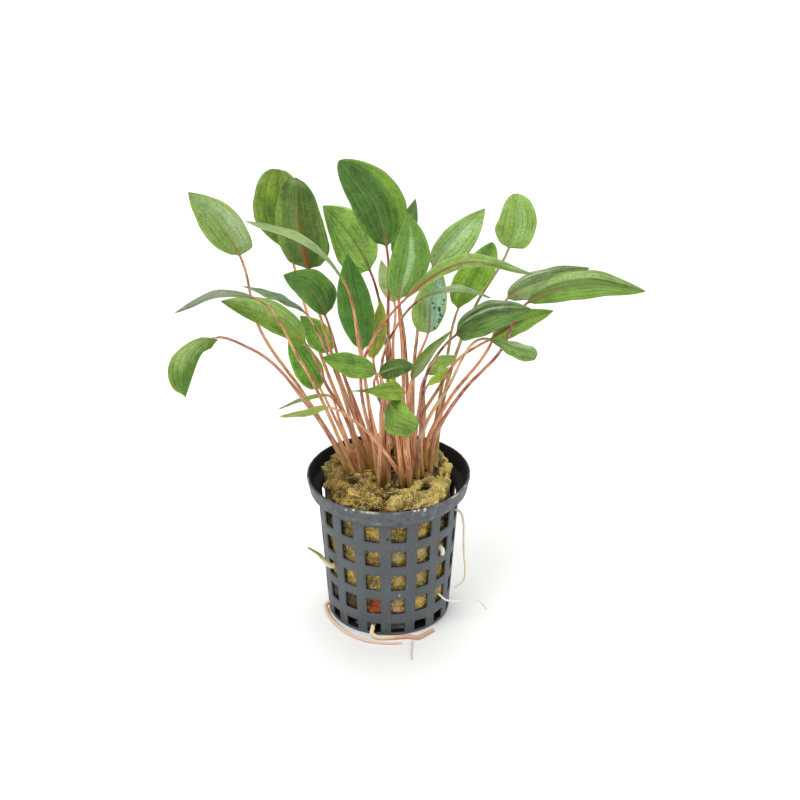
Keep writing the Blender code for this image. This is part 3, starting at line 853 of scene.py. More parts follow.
def tissue(blade: str, shade: str, margin: str, stalk: str = "#CB875C", rib: str = "#93A052",
           patches: Iterable[Sequence[float | str]] = (), **extras: object) -> LeafTissue:
    """Make a leaf's tissue, with the next shift of the painted shade lines on its petiole.

    Args:
        blade: The upper side's colour.
        shade: Its darker clouds.
        margin: The light rim and streaks.
        stalk: The petiole.
        rib: The midrib.
        patches: Each patch's parts, in order.
        extras: Other parts of the tissue.

    Returns:
        The tissue.
    """
    return LeafTissue(blade, shade, margin, rib, stalk, sap=next(SHADE_LINE_SHIFTS),
                      patches=tuple(Patch(*parts) for parts in patches), **extras)


# Each leaf's crown, the points of its petiole, its neck, belly and tip, and how far its
# left and right halves reach from the belly. A patch's parts are in Patch's order; most
# patches are painted sheens and painted fold shade.
LEAVES = [
    Leaf("left_high", "left", [(-28.5, 8, 77.5), (-43, 17.5, 97)],
         (-49, 24, 120), (-55.5, 24, 131.5), (-65, 22.5, 143.5), (-4.5, -3, -2.6), (5.5, 4, 2),
         tissue("#92AD5D", "#83A24E", "#A0BC57", "#A8693C", "#8C8A50", patches=[
             (0.6, 0.35, 0.55, 0.45, "#BFD3A9"), (-0.1, 0.75, 0.7, 0.35, "#8EAC7A", 0.4)],
             folds=0.15, streaks=0.2),
         base_power=0.5, lean=0.5, ears=(0.0, 1.8)),
    Leaf("left_drooping", "left", [(-24.5, -12, 81), (-43.5, -17.5, 106.5)],
         (-55, -20, 111.5), (-61, -24, 108), (-64, -27.5, 94), (-7.2, -3, -0.9), (5, 2.5, 0.5),
         tissue("#678F2A", "#587C23", "#7EA232", "#B2746A", "#7F8A4C", patches=[
             (-0.5, 0.25, 0.9, 0.35, "#9BB16D", 0.85), (-0.2, 0.75, 0.6, 0.3, "#4C7A28", 0.6)],
             folds=0.15, streaks=0.2),
         tip_power=1.3, base_power=0.8, widest=0.46, wave=0.1, ears=(1.5, 2.5)),
    Leaf("left_low", "left", [(-17.5, 3, 70)],
         (-22.5, 5, 80.5), (-27.5, 5, 90.5), (-32.5, 6.5, 98.5), (-3.9, -2, -2), (3.4, 1.5, 2),
         tissue("#75B137", "#629139", "#97C93E", patches=[
             (0.1, 0.75, 0.9, 0.3, "#598E37", 0.6)]),
         tip_power=0.7, base_power=0.5),
    Leaf("left_sliver_upper", "left", [(-16, -3, 73)],
         (-19.5, -3.5, 82.5), (-27.5, -3.5, 81), (-36, -4.5, 78), (-0.3, 2.2, -0.4),
         (0.3, -2.5, 0.5),
         tissue("#8AAC3C", "#7A9C3A", "#A5BE48", patches=[
             (0, 0.95, 1.5, 0.5, "#8C9486", 0.9)]),
         wave=0.1),
    Leaf("left_side_on", "left", [(-28.5, -9, 98.5)],
         (-42, -11, 121), (-53.5, -13.5, 123.5), (-67, -17.5, 119), (-1, 4, -0.5),
         (0.5, -3.5, 0.5),
         tissue("#778365", "#6A7857", "#808D6B", "#A8743E", patches=[
             (-0.2, 0.5, 0.9, 0.5, "#85907D", 0.6)], edge="#6D7486"),
         wave=0.05),
    Leaf("left_large", "left", [(-15.5, -1.5, 76.5), (-19.5, -2, 84)],
         (-26.5, -2.5, 100.5), (-38.5, -3.5, 110.5), (-53.5, -5.5, 117.5), (2, 5, 3.5),
         (-1.5, -3, -1.6),
         tissue("#779931", "#698D2B", "#84AA34", "#B27B58", patches=[
             (-0.7, 0.55, 0.7, 0.6, "#9AB56C", 0.75)])),
    Leaf("left_edge_on", "left", [(-20.5, 9, 92.5)],
         (-27.5, 11.5, 105.5), (-36, 12, 110.5), (-47.5, 11.5, 115), (0, 5, -1), (0, -5, 1),
         tissue("#6C8762", "#5E7A4C", "#8FA37E", "#6A4030")),
    Leaf("back_left_round", "back_left", [(-18, 10.5, 77)],
         (-33, 38, 115.5), (-36, 42.5, 130.5), (-36.5, 46, 142), (-9.5, -2, 1.7), (9, -1, 0.5),
         tissue("#6F8E2F", "#5C7729", "#87A237", patches=[
             (0.0, 0.8, 0.9, 0.3, "#89A23C", 0.5)], edge="#76767A"),
         tip_power=0.4, base_power=0.85),
    Leaf("back_left_small", "back_left", [(-13, 13, 76)],
         (-19, 17.5, 88), (-23.5, 20.5, 93.5), (-29.5, 22.5, 99), (-3.5, -3, -2), (3, 2, 1.5),
         tissue("#79A83B", "#6B9634", "#A3D153")),
    Leaf("left_underside", "back_left", [(-17, 10.5, 84)],
         (-26, 14, 119.5), (-28.5, 13.5, 133.5), (-29.5, 16.5, 151), (-8, 3, -0.5), (9, 2, -3.5),
         tissue("#577729", "#4A6626", "#708E31", "#9C4A26", "#74502A", patches=[
             (0.0, 0.1, 0.22, 0.45, "#814F25", 0.8), (-0.12, 1.0, 0.9, 0.1, "#93A674", 0.6),
             (-0.85, 0.45, 0.2, 0.5, "#839F40", 0.7), (0.85, 0.45, 0.2, 0.5, "#79993E", 0.6),
             (0.25, 0.5, 0.25, 0.5, "#4A5D1D", 0.55)], under="#5B7929", rib_share=0.95,
             rib_width=0.85, edge="#5E6A40"),
         tip_power=0.35, base_power=0.5, lean=-0.4, shows=Side.UNDER),
    Leaf("left_pointed", "back_left", [(-17, 4, 95)],
         (-20.5, 5.5, 107), (-25.5, 7, 116), (-34, 7, 121), (6, 3, 2), (-3.5, -4, 0),
         tissue("#59812F", "#4B722C", "#6D9336", "#8F4A34", patches=[
             (0.3, 0.5, 0.6, 0.5, "#487A32", 0.5)])),
    Leaf("back_light", "back_left", [(-3, 6.5, 79.5)],
         (-5, 9, 89.5), (-3.5, 10, 99.5), (-2.5, 12, 110), (-3, -1, -0.5), (3, 1, -0.5),
         tissue("#B3C54E", "#9DB34E", "#D5E35B")),
    Leaf("back_middle_left", "back_left", [(-1, 13.5, 94.5)],
         (-6, 21, 116), (-13, 24, 128), (-21.5, 26.5, 137), (-5, -3, -6), (5.5, 2, 5),
         tissue("#94BA54", "#81A74D", "#ABD261", "#6B3226", "#80763E", edge="#7F7C78",
                rib_width=0.6)),
    Leaf("middle_dark", "front_left", [(-7.5, -0.5, 85)],
         (-8.5, 1.5, 96), (-11.5, 1.5, 114), (-13, 1, 131), (-5, 0, -0.5), (6, 2, 0.5),
         tissue("#4E8427", "#417120", "#659A2C", patches=[
             (0.3, 0.15, 0.8, 0.25, "#3A7430", 0.5)])),
    Leaf("left_arching", "front_left", [(-9, -9.5, 101.5)],
         (-14, -11.5, 127.5), (-26, -15.5, 143), (-44, -19, 151), (0.5, -6, 1.3), (-0.5, 6, -1.3),
         tissue("#99AE71", "#8AA360", "#9BB266", "#B8703F", "#98A870", patches=[
             (0.0, 0.9, 1.2, 0.25, "#819468", 0.8)], edge="#7C9070"),
         widest=0.5, wave=0.05),
    Leaf("front_dark", "front_left", [(-0.5, -12, 78)],
         (-3, -17, 97), (2.5, -17, 99.5), (8, -17, 100), (-0.5, 4, 1), (0.5, -2, -2.5),
         tissue("#4A691B", "#3F5A17", "#648826", "#A8624A"),
         tip_power=0.5),
    Leaf("front_left", "front_left", [(-2.5, -17.5, 80.5)],
         (-3.5, -24, 101), (-12, -27, 105.5), (-20.5, -32, 110.5), (0.5, 3, 2.5), (-0.5, -4, -2),
         tissue("#6D9730", "#5D882B", "#84AA38", "#B3695A", patches=[
             (0.5, 0.5, 0.6, 0.5, "#7FA235", 0.5)])),
    Leaf("right_arching", "front_left", [(-6.5, -13, 104)],
         (5, -13.5, 121.5), (24.5, -16.5, 136), (45, -20, 133.5), (-0.4, 3, 1.6),
         (0.5, -1.8, -0.6),
         tissue("#86A44A", "#6F9040", "#A4B86A", "#A86248", "#8C5A38", patches=[
             (0.0, 0.97, 1.0, 0.14, "#8E9C80", 0.7), (-0.6, 0.5, 0.4, 0.5, "#7FA244", 0.6)],
             under="#85A648", rib_share=0.95, rib_width=0.8),
         tip_power=0.8, base_power=0.9, widest=0.4, shows=Side.UNDER, wave=0.05),
    Leaf("narrow_arch", "back_right", [(0, 1, 100)],
         (11, 0, 116), (21.5, 0, 119.5), (33, -2, 117), (0, 3.5, -0.6), (0, -3.5, 0.6),
         tissue("#819B61", "#6F894C", "#94A678", "#5A3428", patches=[
             (-0.5, 0.6, 0.7, 0.6, "#98A682", 0.7), (0.2, 0.0, 1.0, 0.25, "#395526", 0.8)],
             edge="#7D7488", streaks=0.6),
         wave=0.1),
    Leaf("tallest", "back_right", [(0, 8, 100.5)],
         (-0.5, 13, 128), (-4.5, 13.5, 143.5), (-15.5, 12.5, 158.5), (-6.3, -2.5, -2.5),
         (9.3, 2.5, 1),
         tissue("#50782F", "#436B26", "#739D33", "#A6523A", "#84945A", patches=[
             (0.8, 0.45, 0.35, 0.6, "#83A93A", 0.85), (-0.1, 0.03, 0.3, 0.1, "#B3AB73", 0.6),
             (-0.5, 0.4, 0.5, 0.5, "#456729", 0.6)]),
         tip_power=0.55, base_power=0.75),
    Leaf("back_pale", "back_right", [(1.5, 16, 91.5)],
         (2, 20, 105), (-0.5, 22, 112), (-2.5, 24.5, 118.5), (-2.5, -1, -0.5), (2.5, 0, 0.5),
         tissue("#B9CC8C", "#A8BF74", "#C8D8A0")),
    Leaf("back_tip", "back_right", [(5.5, 19, 90)],
         (3, 26.5, 118), (6, 29, 129), (9, 31.5, 137.5), (-3.5, -1, 0), (3.5, 1, -1),
         tissue("#6A924E", "#5C863F", "#7D9F6B", "#54332A")),
    Leaf("back_right_oval", "back_right", [(9, 16, 89.5)],
         (14.5, 24.5, 115.5), (24, 29, 126.5), (32, 32.5, 133.5), (-3.4, 0.6, 2.3), (5, -4, -2.5),
         tissue("#94B466", "#89A95A", "#9FBD68", "#9A8048", "#9DB86C", patches=[
             (0.0, 0.45, 0.5, 0.45, "#A8C593", 0.7)], folds=0.15, streaks=0.2)),
    Leaf("pale_speckled", "back_right", [(10, 8.5, 91)],
         (13, 9.5, 98.5), (14, 12, 108.5), (17, 13.5, 120.5), (-6, -3, -1), (5, -1, 0.5),
         tissue("#93B45E", "#83A44E", "#A6C266", "#A85A40", patches=[
             (0.4, 0.45, 0.8, 0.8, "#A6CCB6", 0.95)], folds=0.2, streaks=0.2, specks=True)),
    Leaf("middle_glossy", "back_right", [(4.5, -2.5, 100.5)],
         (3.5, -1.5, 116), (6.5, -1.5, 131.5), (6.5, -4, 147.5), (-5.8, 0, -0.5), (6.5, 2, -3),
         tissue("#76A23E", "#669238", "#85AB46", "#B8693E", "#93A05A", patches=[
             (0.1, 0.45, 0.2, 0.45, "#B7D7A2", 0.65)], folds=0.15, streaks=0.2, roughness=0.32)),
    Leaf("front_low", "front_right", [(2.5, -17.5, 77.5)],
         (0.5, -32.5, 95.5), (3, -39.5, 94), (9.5, -45, 93.5), (-3, -2, -4.5), (3, 1, 3),
         tissue("#6D8D28", "#5E8125", "#7C9D2E", patches=[
             (-0.6, 0.2, 0.5, 0.3, "#4A732A", 0.8), (-0.75, 0.3, 0.13, 0.06, "#A6632B", 0.9),
             (-0.7, 0.6, 0.12, 0.05, "#9F6231", 0.9), (0.5, 0.7, 0.5, 0.4, "#84AD3F", 0.6)]),
         tip_power=0.5, ragged=0.16),
    Leaf("front_flat", "front_right", [(5, -20, 78.5)],
         (5, -30.5, 98), (1.5, -34, 100), (-13, -37, 101.5), (0.5, 4, 1.5), (-0.3, -3.7, -1.3),
         tissue("#7D9E2A", "#6D8F27", "#92AC2F", patches=[
             (0.0, 0.85, 1.4, 0.35, "#506121", 0.8)]),
         tip_power=4.0, base_power=0.5, widest=0.25, ragged=0.1),
    Leaf("rolled", "front_right", [(6.5, -17, 89.5)],
         (7.5, -21, 97), (11.5, -24.5, 106.5), (20, -24.5, 116.5), (-1.5, 1, 0.5),
         (1.5, 2.5, -2.5),
         tissue("#758A2F", "#647C2B", "#96A449", "#A85A3C", patches=[
             (0.5, 0.4, 0.5, 0.5, "#A4B179", 0.6)]),
         curl=1.2),
    Leaf("left_sliver_lower", "front_right", [(-1, -14, 67), (-8.5, -20.5, 80)],
         (-19, -20.5, 87), (-26.5, -20.5, 85), (-34.5, -23, 85), (0, 2, 0.3), (0, -3, 0.2),
         tissue("#9AA74C", "#889743", "#ACB761", "#CF9274"),
         tip_power=0.6, wave=0.1),
    Leaf("right_dark", "front_right", [(10.5, -7, 69.5), (13, -8, 94)],
         (21.5, -11, 108), (32, -13.5, 115.5), (45, -17.5, 120.5), (-1, 5.5, 2.7), (1, -4.5, -2.8),
         tissue("#577A2B", "#486924", "#718C3F", "#54302A", "#4F6432", patches=[
             (-0.85, 0.45, 0.16, 0.5, "#8E9E87", 0.9), (-0.62, 0.5, 0.09, 0.5, "#395228", 0.9),
             (-0.42, 0.48, 0.09, 0.45, "#A2AE9B", 0.9), (-0.18, 0.5, 0.16, 0.6, "#385227", 0.85),
             (0.55, 0.6, 0.4, 0.5, "#5E8833", 0.7), (0.0, 0.05, 1.2, 0.15, "#3F4123", 0.7)],
             streaks=0.7, folds=0.5, roughness=0.34),
         base_power=0.4),
    Leaf("right_small_upper", "front_right", [(10, -4.5, 77.5)],
         (12.5, 0.5, 88), (17.5, 1.5, 92), (22, 2, 94), (-1, 3, 1), (1.5, -3, -0.5),
         tissue("#8CAB4A", "#789846", "#A8C459", "#8F4A3C")),
    Leaf("behind_arch", "right", [(19, 12.5, 85)],
         (23, 16, 104.5), (29, 18.5, 115.5), (34, 22, 126), (-6, 0, 2), (6, -2, 2),
         tissue("#7CA42D", "#6B952D", "#8EB233", "#93874A", patches=[
             (0.0, 0.92, 1.0, 0.25, "#507530", 0.75), (-0.5, 0.4, 0.3, 0.4, "#9FBE45", 0.5)],
             folds=0.15, streaks=0.2),
         tip_power=0.7),
    Leaf("right_small_lower", "right", [(12, 2, 71)],
         (13, 4, 82.5), (17, 5, 85), (21.5, 6.5, 88.5), (-0.5, 3, 0), (0.5, -3, 0),
         tissue("#C1DD40", "#A9C83D", "#DFF152", "#B8703C")),
    Leaf("right_round", "right", [(20, 10, 82), (29, 21, 103.5)],
         (40, 30.5, 120), (42.5, 34, 129), (41.5, 38, 136.5), (-6.5, -1, 0.5), (6.5, -3, 0.5),
         tissue("#90B156", "#82A34A", "#9DBA58", "#97A074", "#A3BC74", patches=[
             (0.3, 0.4, 0.3, 0.5, "#A0C07E", 0.6)], folds=0.15, streaks=0.2),
         tip_power=0.5, base_power=0.5, lean=0.4, ears=(0.3, 1.0)),
    Leaf("right_curled", "right", [(11, -4, 67.5), (19, -7, 86.5)],
         (32, -14.5, 108.5), (39.5, -17, 106), (47, -21, 105.5), (1, 3, 1.5), (-0.5, -3, -1.5),
         tissue("#74993A", "#61882F", "#8EA962", "#8E8046", patches=[
             (-0.8, 0.6, 0.5, 0.7, "#99B578", 0.8), (-0.2, 0.75, 0.4, 0.25, "#395A20", 0.6)]),
         tip_power=0.3, base_power=1.0, widest=0.78, curl=0.9, ragged=0.12),
    Leaf("right_dark_back", "right", [(8, -2, 66), (16, -2, 83.5), (23.5, -1.5, 95.5)],
         (33.5, -1, 102), (44, 0, 108), (53.5, 0, 111.5), (-1, 4, 1.5), (1, -4, -1.5),
         tissue("#7DA72E", "#6F952A", "#91B436", "#8A3A2E", "#5A4424", patches=[
             (-0.2, 0.15, 0.5, 0.25, "#5B491F", 0.7), (0.6, 0.6, 0.4, 0.6, "#8BAE42", 0.6)],
             rib_share=0.9, rib_width=0.62)),
    Leaf("far_right", "right", [(15.5, -4, 67.5), (24.5, -5, 85), (36, -6, 99.5)],
         (44, -8.5, 118), (62, -12, 126), (81, -16.5, 126), (-0.5, 5, 3), (0.5, -5, -2),
         tissue("#638323", "#56761F", "#709225", "#A85E62", "#7C6A3E", patches=[
             (-0.65, 0.5, 0.4, 0.6, "#94AC68", 0.85), (-0.3, 0.55, 0.14, 0.6, "#4E6D23", 0.75),
             (0.1, 0.12, 0.25, 0.3, "#565E24", 0.7), (0.6, 0.6, 0.4, 0.6, "#749929", 0.7),
             (0.25, 0.6, 0.12, 0.5, "#557823", 0.6)], rib_share=0.8, folds=0.4)),
    Leaf("right_inner", "right", [(12.5, 0, 61.5), (20, 1, 78.5), (33, 3, 97)],
         (38.5, 6.5, 112.5), (51, 7, 119), (65, 6, 124), (-2, 4, 2), (0.5, -5, -2.5),
         tissue("#75894D", "#63773F", "#879A55", "#B5552E", patches=[
             (-0.8, 0.4, 0.3, 0.5, "#9EAD8A", 0.85), (-0.35, 0.5, 0.3, 0.6, "#516C38", 0.8),
             (0.3, 0.45, 0.3, 0.5, "#8BA263", 0.6), (-0.9, 0.75, 0.3, 0.3, "#786C44", 0.7)],
             folds=0.4)),
]


def leaf_feet(crown: str) -> dict[str, Vector]:
    """Give each leaf of a crown its foot, on the side to which its petiole leans.

    Args:
        crown: The crown's name.

    Returns:
        The foot of each of its leaves, by name.
    """
    centre = Vector((*CROWNS[crown], CROWN_TOP + GAP))
    members = [leaf for leaf in LEAVES if leaf.crown == crown]
    leans = {}
    for leaf in members:
        lean = Vector(leaf.stalk[0]) - centre
        leans[leaf.name] = Vector((lean.x / lean.z, lean.y / lean.z))
    middle = sum(leans.values(), Vector((0, 0))) / len(members)
    members.sort(key=lambda leaf: (leans[leaf.name] - middle).length)
    feet = {members[0].name: centre}
    ring = members[1:]
    ring.sort(key=lambda leaf: Vector((1, 0)).angle_signed(leans[leaf.name] - middle))
    first = Vector((1, 0)).angle_signed(leans[ring[0].name] - middle)
    for number, leaf in enumerate(ring):
        turn = -first - 2 * pi * number / len(ring)
        feet[leaf.name] = centre + Vector((cos(turn), sin(turn), 0)) * RING_RADIUS
    return feet


@dataclass(frozen=True)
class MouldedSlate:
    """Polypropylene moulded in slate grey: scuffed and dusty outside, with painted shade inside."""

    outside: str = "#494F52"
    cloudy: str = "#555B60"
    scuff: str = "#7E8488"
    inside: str = "#0B0B0C"
    lip_dust_and_highlight: str = "#CFC8B4"
    grit: str = "#A9AFB5"
    rubbed: str = "#969A9C"
    grime: str = "#2E3336"
    lip_radius: float = 27.2
    specks: tuple[Spot, ...] = (
        Spot(9.6, 16.5, 0.7, "#E8E4DC"), Spot(-0.4, 39.5, 1.1, "#232628"),
        Spot(-30.5, 51.0, 0.85, "#D9D2BE"), Spot(-24.7, 51.7, 0.9, "#D9D2BE"),
        Spot(18.5, 51.9, 0.9, "#DDD8C8"), Spot(21.5, 51.9, 0.8, "#CFC9B6"),
        Spot(25.9, 51.5, 1.0, "#CFC9B6"), Spot(-14.0, 51.6, 0.7, "#B9B4A6"))

    def material(self, pot: "NetPot") -> bpy.types.Material:
        """Build the pot's finish, which reads the pot's own shell attribute.

        Args:
            pot: The pot, whose wall the specks lie on.

        Returns:
            The material.
        """
        paint = Palette("moulded_slate_polypropylene")
        shell = paint.add("Attribute", attribute_name="shell", out=1)
        inner, height = (paint.add("SeparateXYZ", {0: shell}, out) for out in range(2))
        space = paint.add("TexCoord", out=3)
        cloud = paint.add("TexNoise", {0: space, "Scale": 90.0, "Detail": 5.0, "Roughness": 0.6})
        grit = paint.add("TexNoise", {0: space, "Scale": 1500.0, "Detail": 2.0})
        drawn = paint.add("Mapping", {0: space, 3: (1.0, 1.0, 0.18)})
        scratch = paint.add("TexNoise", {0: drawn, "Scale": 700.0, "Detail": 2.0})
        wear = paint.add("TexNoise", {0: space, "Scale": 330.0, "Detail": 4.0, "Roughness": 0.7})
        collar = (height, 44.8, 46.8)
        paint.coat = paint.blend(self.outside, self.cloudy, (cloud, 0.3, 0.75))
        paint.lay(self.scuff, (scratch, 0.62, 0.72), 0.16)
        paint.lay(self.grit, (grit, 0.66, 0.74), 0.25)
        paint.lay(self.rubbed, collar, (wear, 0.53, 0.66), 0.4)
        paint.lay(self.grime, collar, (wear, 0.47, 0.34), 0.6)
        # Pale band on the lip's top: partly dust, partly a painted highlight where the lip faces
        # up.
        paint.lay(self.lip_dust_and_highlight, (height, 50.9, 51.7), (cloud, 0.5, 0.62), 0.7)
        stir = paint.where(grit, 0.0011)
        for speck in self.specks:
            on_wall = speck.height <= pot.shoulder[1]
            radius = pot.wall_radius(speck.height) if on_wall else self.lip_radius
            paint.stain(space, stir, speck, radius, 0.3)
        # Painted shade: the inner faces are laid near-black for the shade in the pot.
        paint.lay(self.inside, (inner, 0.35, 0.65))
        rough = paint.add("MapRange", {0: cloud, 3: 0.42, 4: 0.62})
        rough = paint.add("Math", {0: rough, 1: paint.where(inner, 0.9)}, operation="MAXIMUM")
        relief = paint.add("Math", {0: scratch, 1: 0.5, 2: grit}, operation="MULTIPLY_ADD")
        return paint.finish({"Roughness": rough, "IOR": 1.49}, relief, 0.03)


@dataclass
class NetPot:
    """The net pot: a conical wall of windows under a plain collar, and a slotted floor."""

    height: float = 51.9
    wall: float = 1.0
    columns: int = 16
    turn: float = -2.45
    hole_angle: float = 12.6
    hole_rows: tuple[tuple[float, float], ...] = (
        (0.9, 4.7), (8.7, 14.7), (18.3, 24.3), (28.0, 34.0), (37.7, 43.7))
    base_radius: float = 20.6
    slope: float = 0.069
    shoulder: tuple[float, float] = (45.0, 46.5)
    collar_radius: float = 26.4
    rim_radius: float = 27.5
    lip: float = 0.9
    # How far the rim is warped up on the right and down on the left.
    warp: float = 0.25
    floor_radii: tuple[float, ...] = (19.6, 17.5, 7.0)
    slot_span: int = 3
    # A hole's steps across, as shares of its half angle, with a narrow step outside each side.
    steps: tuple[float, ...] = (-1.1, -1.0, -0.9, -0.3, 0.3, 0.9, 1.0, 1.1)
    edge: float = 0.35

    def wall_radius(self, height: float) -> float:
        """Return the outer radius of the wall below the collar."""
        return self.base_radius + self.slope * height

    def levels(self) -> list[tuple[float, float, bool]]:
        """Return each level's height, radius and whether the band below it has windows."""
        levels = []
        for low, high in self.hole_rows:
            band = ((low - self.edge, False), (low, False), (low + self.edge, True),
                    (high - self.edge, True), (high, True), (high + self.edge, False))
            for height, holed in band if low > 1 else band[1:]:
                levels.append((height, self.wall_radius(height), holed))
        low, high = self.shoulder
        lip = self.height - self.lip
        for height, radius in ((low, self.wall_radius(low)),
                               (low + 0.4, self.wall_radius(low) + 0.35),
                               (high - 0.3, self.collar_radius - 0.3),
                               (high, self.collar_radius),
                               (high + 0.5, self.collar_radius + 0.12),
                               (lip - 0.25, self.rim_radius - 0.3),
                               (lip, self.rim_radius - 0.12),
                               (self.height, self.rim_radius)):
            levels.append((height, radius, False))
        return levels

    def turns(self) -> list[tuple[float, bool]]:
        """Return each column's turn in degrees, and whether the band before it is a window's."""
        pitch = 360 / self.columns
        turns = []
        for column in range(self.columns):
            middle = pitch * (column + 0.5) + self.turn
            for number, step in enumerate(self.steps):
                open_band = 2 <= number <= len(self.steps) - 2
                turns.append((middle + step * self.hole_angle / 2, open_band))
        return turns

    def build(self, finish: MouldedSlate) -> bpy.types.Object:
        """Make the pot.

        Args:
            finish: The plastic's finish.

        Returns:
            The finished piece.
        """
        bm = bmesh.new()
        turns = self.turns()
        bmesh.ops.create_circle(bm, segments=len(turns), radius=self.base_radius)
        bm.verts.ensure_lookup_table()
        band = bm.faces.layers.int.new("band")
        order = bm.verts.layers.int.new("order")
        for number, vert in enumerate(bm.verts):
            angle = radians(turns[number][0])
            vert.co = Vector((sin(angle), -cos(angle), 0)) * self.base_radius
            vert[order] = number
        start = bm.edges[:]
        edges = start
        for height, radius, holed in self.levels():
            edges = self.raise_band(bm, edges, radius, height, band, order, turns, holed)
        edges = start
        for number, radius in enumerate(self.floor_radii):
            edges = self.raise_band(bm, edges, radius, 0.0, band, order, turns, False)
            if number == len(self.floor_radii) - 1:
                self.mark_slots(bm, edges, band)
        for face in bmesh.ops.contextual_create(bm, geom=edges)["faces"]:
            face[band] = 0
        bmesh.ops.delete(bm, geom=[face for face in bm.faces if face[band]], context="FACES")
        bmesh.ops.recalc_face_normals(bm, faces=bm.faces)
        middle = min(bm.faces, key=lambda face: face.calc_center_median().length)
        if middle.normal.z > 0:
            bmesh.ops.reverse_faces(bm, faces=bm.faces)
        bmesh.ops.solidify(bm, geom=bm.faces[:], thickness=self.wall)
        self.mark_shell(bm)
        piece = place_piece(bm, "net_pot_shell", finish.material(self), Slot.POT, ["net_pot"])
        rounding = piece.modifiers.new("rounding", "SUBSURF")
        rounding.levels = 1
        rounding.render_levels = 1
        return piece

    def raise_band(self, bm: bmesh.types.BMesh, edges: list, radius: float, height: float,
                   band: object, order: object, turns: list, holed: bool) -> list:
        """Extrude a ring of edges to the next ring and mark its window faces.

        Args:
            bm: The pot's shape so far.
            edges: The ring to start from.
            radius: The new ring's radius.
            height: Its height.
            band: The faces' layer, 1 where a face is an opening.
            order: The points' layer, each one's number round the ring.
            turns: Each column's turn, and whether it closes a window.
            holed: Whether this band has windows.

        Returns:
            The new ring's edges.
        """
        made = bmesh.ops.extrude_edge_only(bm, edges=edges)["geom"]
        for vert in [item for item in made if isinstance(item, bmesh.types.BMVert)]:
            angle = radians(turns[vert[order]][0])
            vert.co = Vector((sin(angle) * radius, -cos(angle) * radius, height))
        for face in [item for item in made if isinstance(item, bmesh.types.BMFace)]:
            numbers = sorted({vert[order] for vert in face.verts})
            wraps = numbers[-1] - numbers[0] > 1
            face[band] = 1 if holed and not wraps and turns[numbers[-1]][1] else 0
        return [item for item in made if isinstance(item, bmesh.types.BMEdge)]

    def mark_slots(self, bm: bmesh.types.BMesh, edges: list, band: object) -> None:
        """Open the floor's slots in the band outside a ring, leaving a spoke every quarter."""
        for face in {face for edge in edges for face in edge.link_faces}:
            middle = face.calc_center_median()
            turn = -Vector((0, -1)).angle_signed(Vector((middle.x, middle.y))) * 180 / pi
            step = floor(((turn - self.turn) % 360) / (180 / self.columns))
            face[band] = 1 if step % 4 < self.slot_span else 0

    def outer_radius(self, height: float) -> float:
        """Return the outer radius at a height, collar and all."""
        below = [(low, radius) for low, radius, _ in self.levels() if low <= height + 0.01]
        above = [(high, radius) for high, radius, _ in self.levels() if high > height + 0.01]
        if not below or not above:
            return (below or above)[-1 if below else 0][1]
        (low, small), (high, big) = below[-1], above[0]
        return small + (big - small) * (height - low) / (high - low)

    def mark_shell(self, bm: bmesh.types.BMesh) -> None:
        """Mark each point as inside or outside and with its height, and warp the rim a little."""
        shell = bm.verts.layers.float_vector.new("shell")
        for vert in bm.verts:
            reach = hypot(vert.co.x, vert.co.y)
            inside = reach < self.outer_radius(vert.co.z) - 0.5 * self.wall
            vert[shell] = (1.0 if inside and vert.co.z > 0.5 else 0.0, vert.co.z, 0.0)
            rise = smoothstep(40, self.height, vert.co.z)
            vert.co.z += self.warp * rise * vert.co.x / self.rim_radius


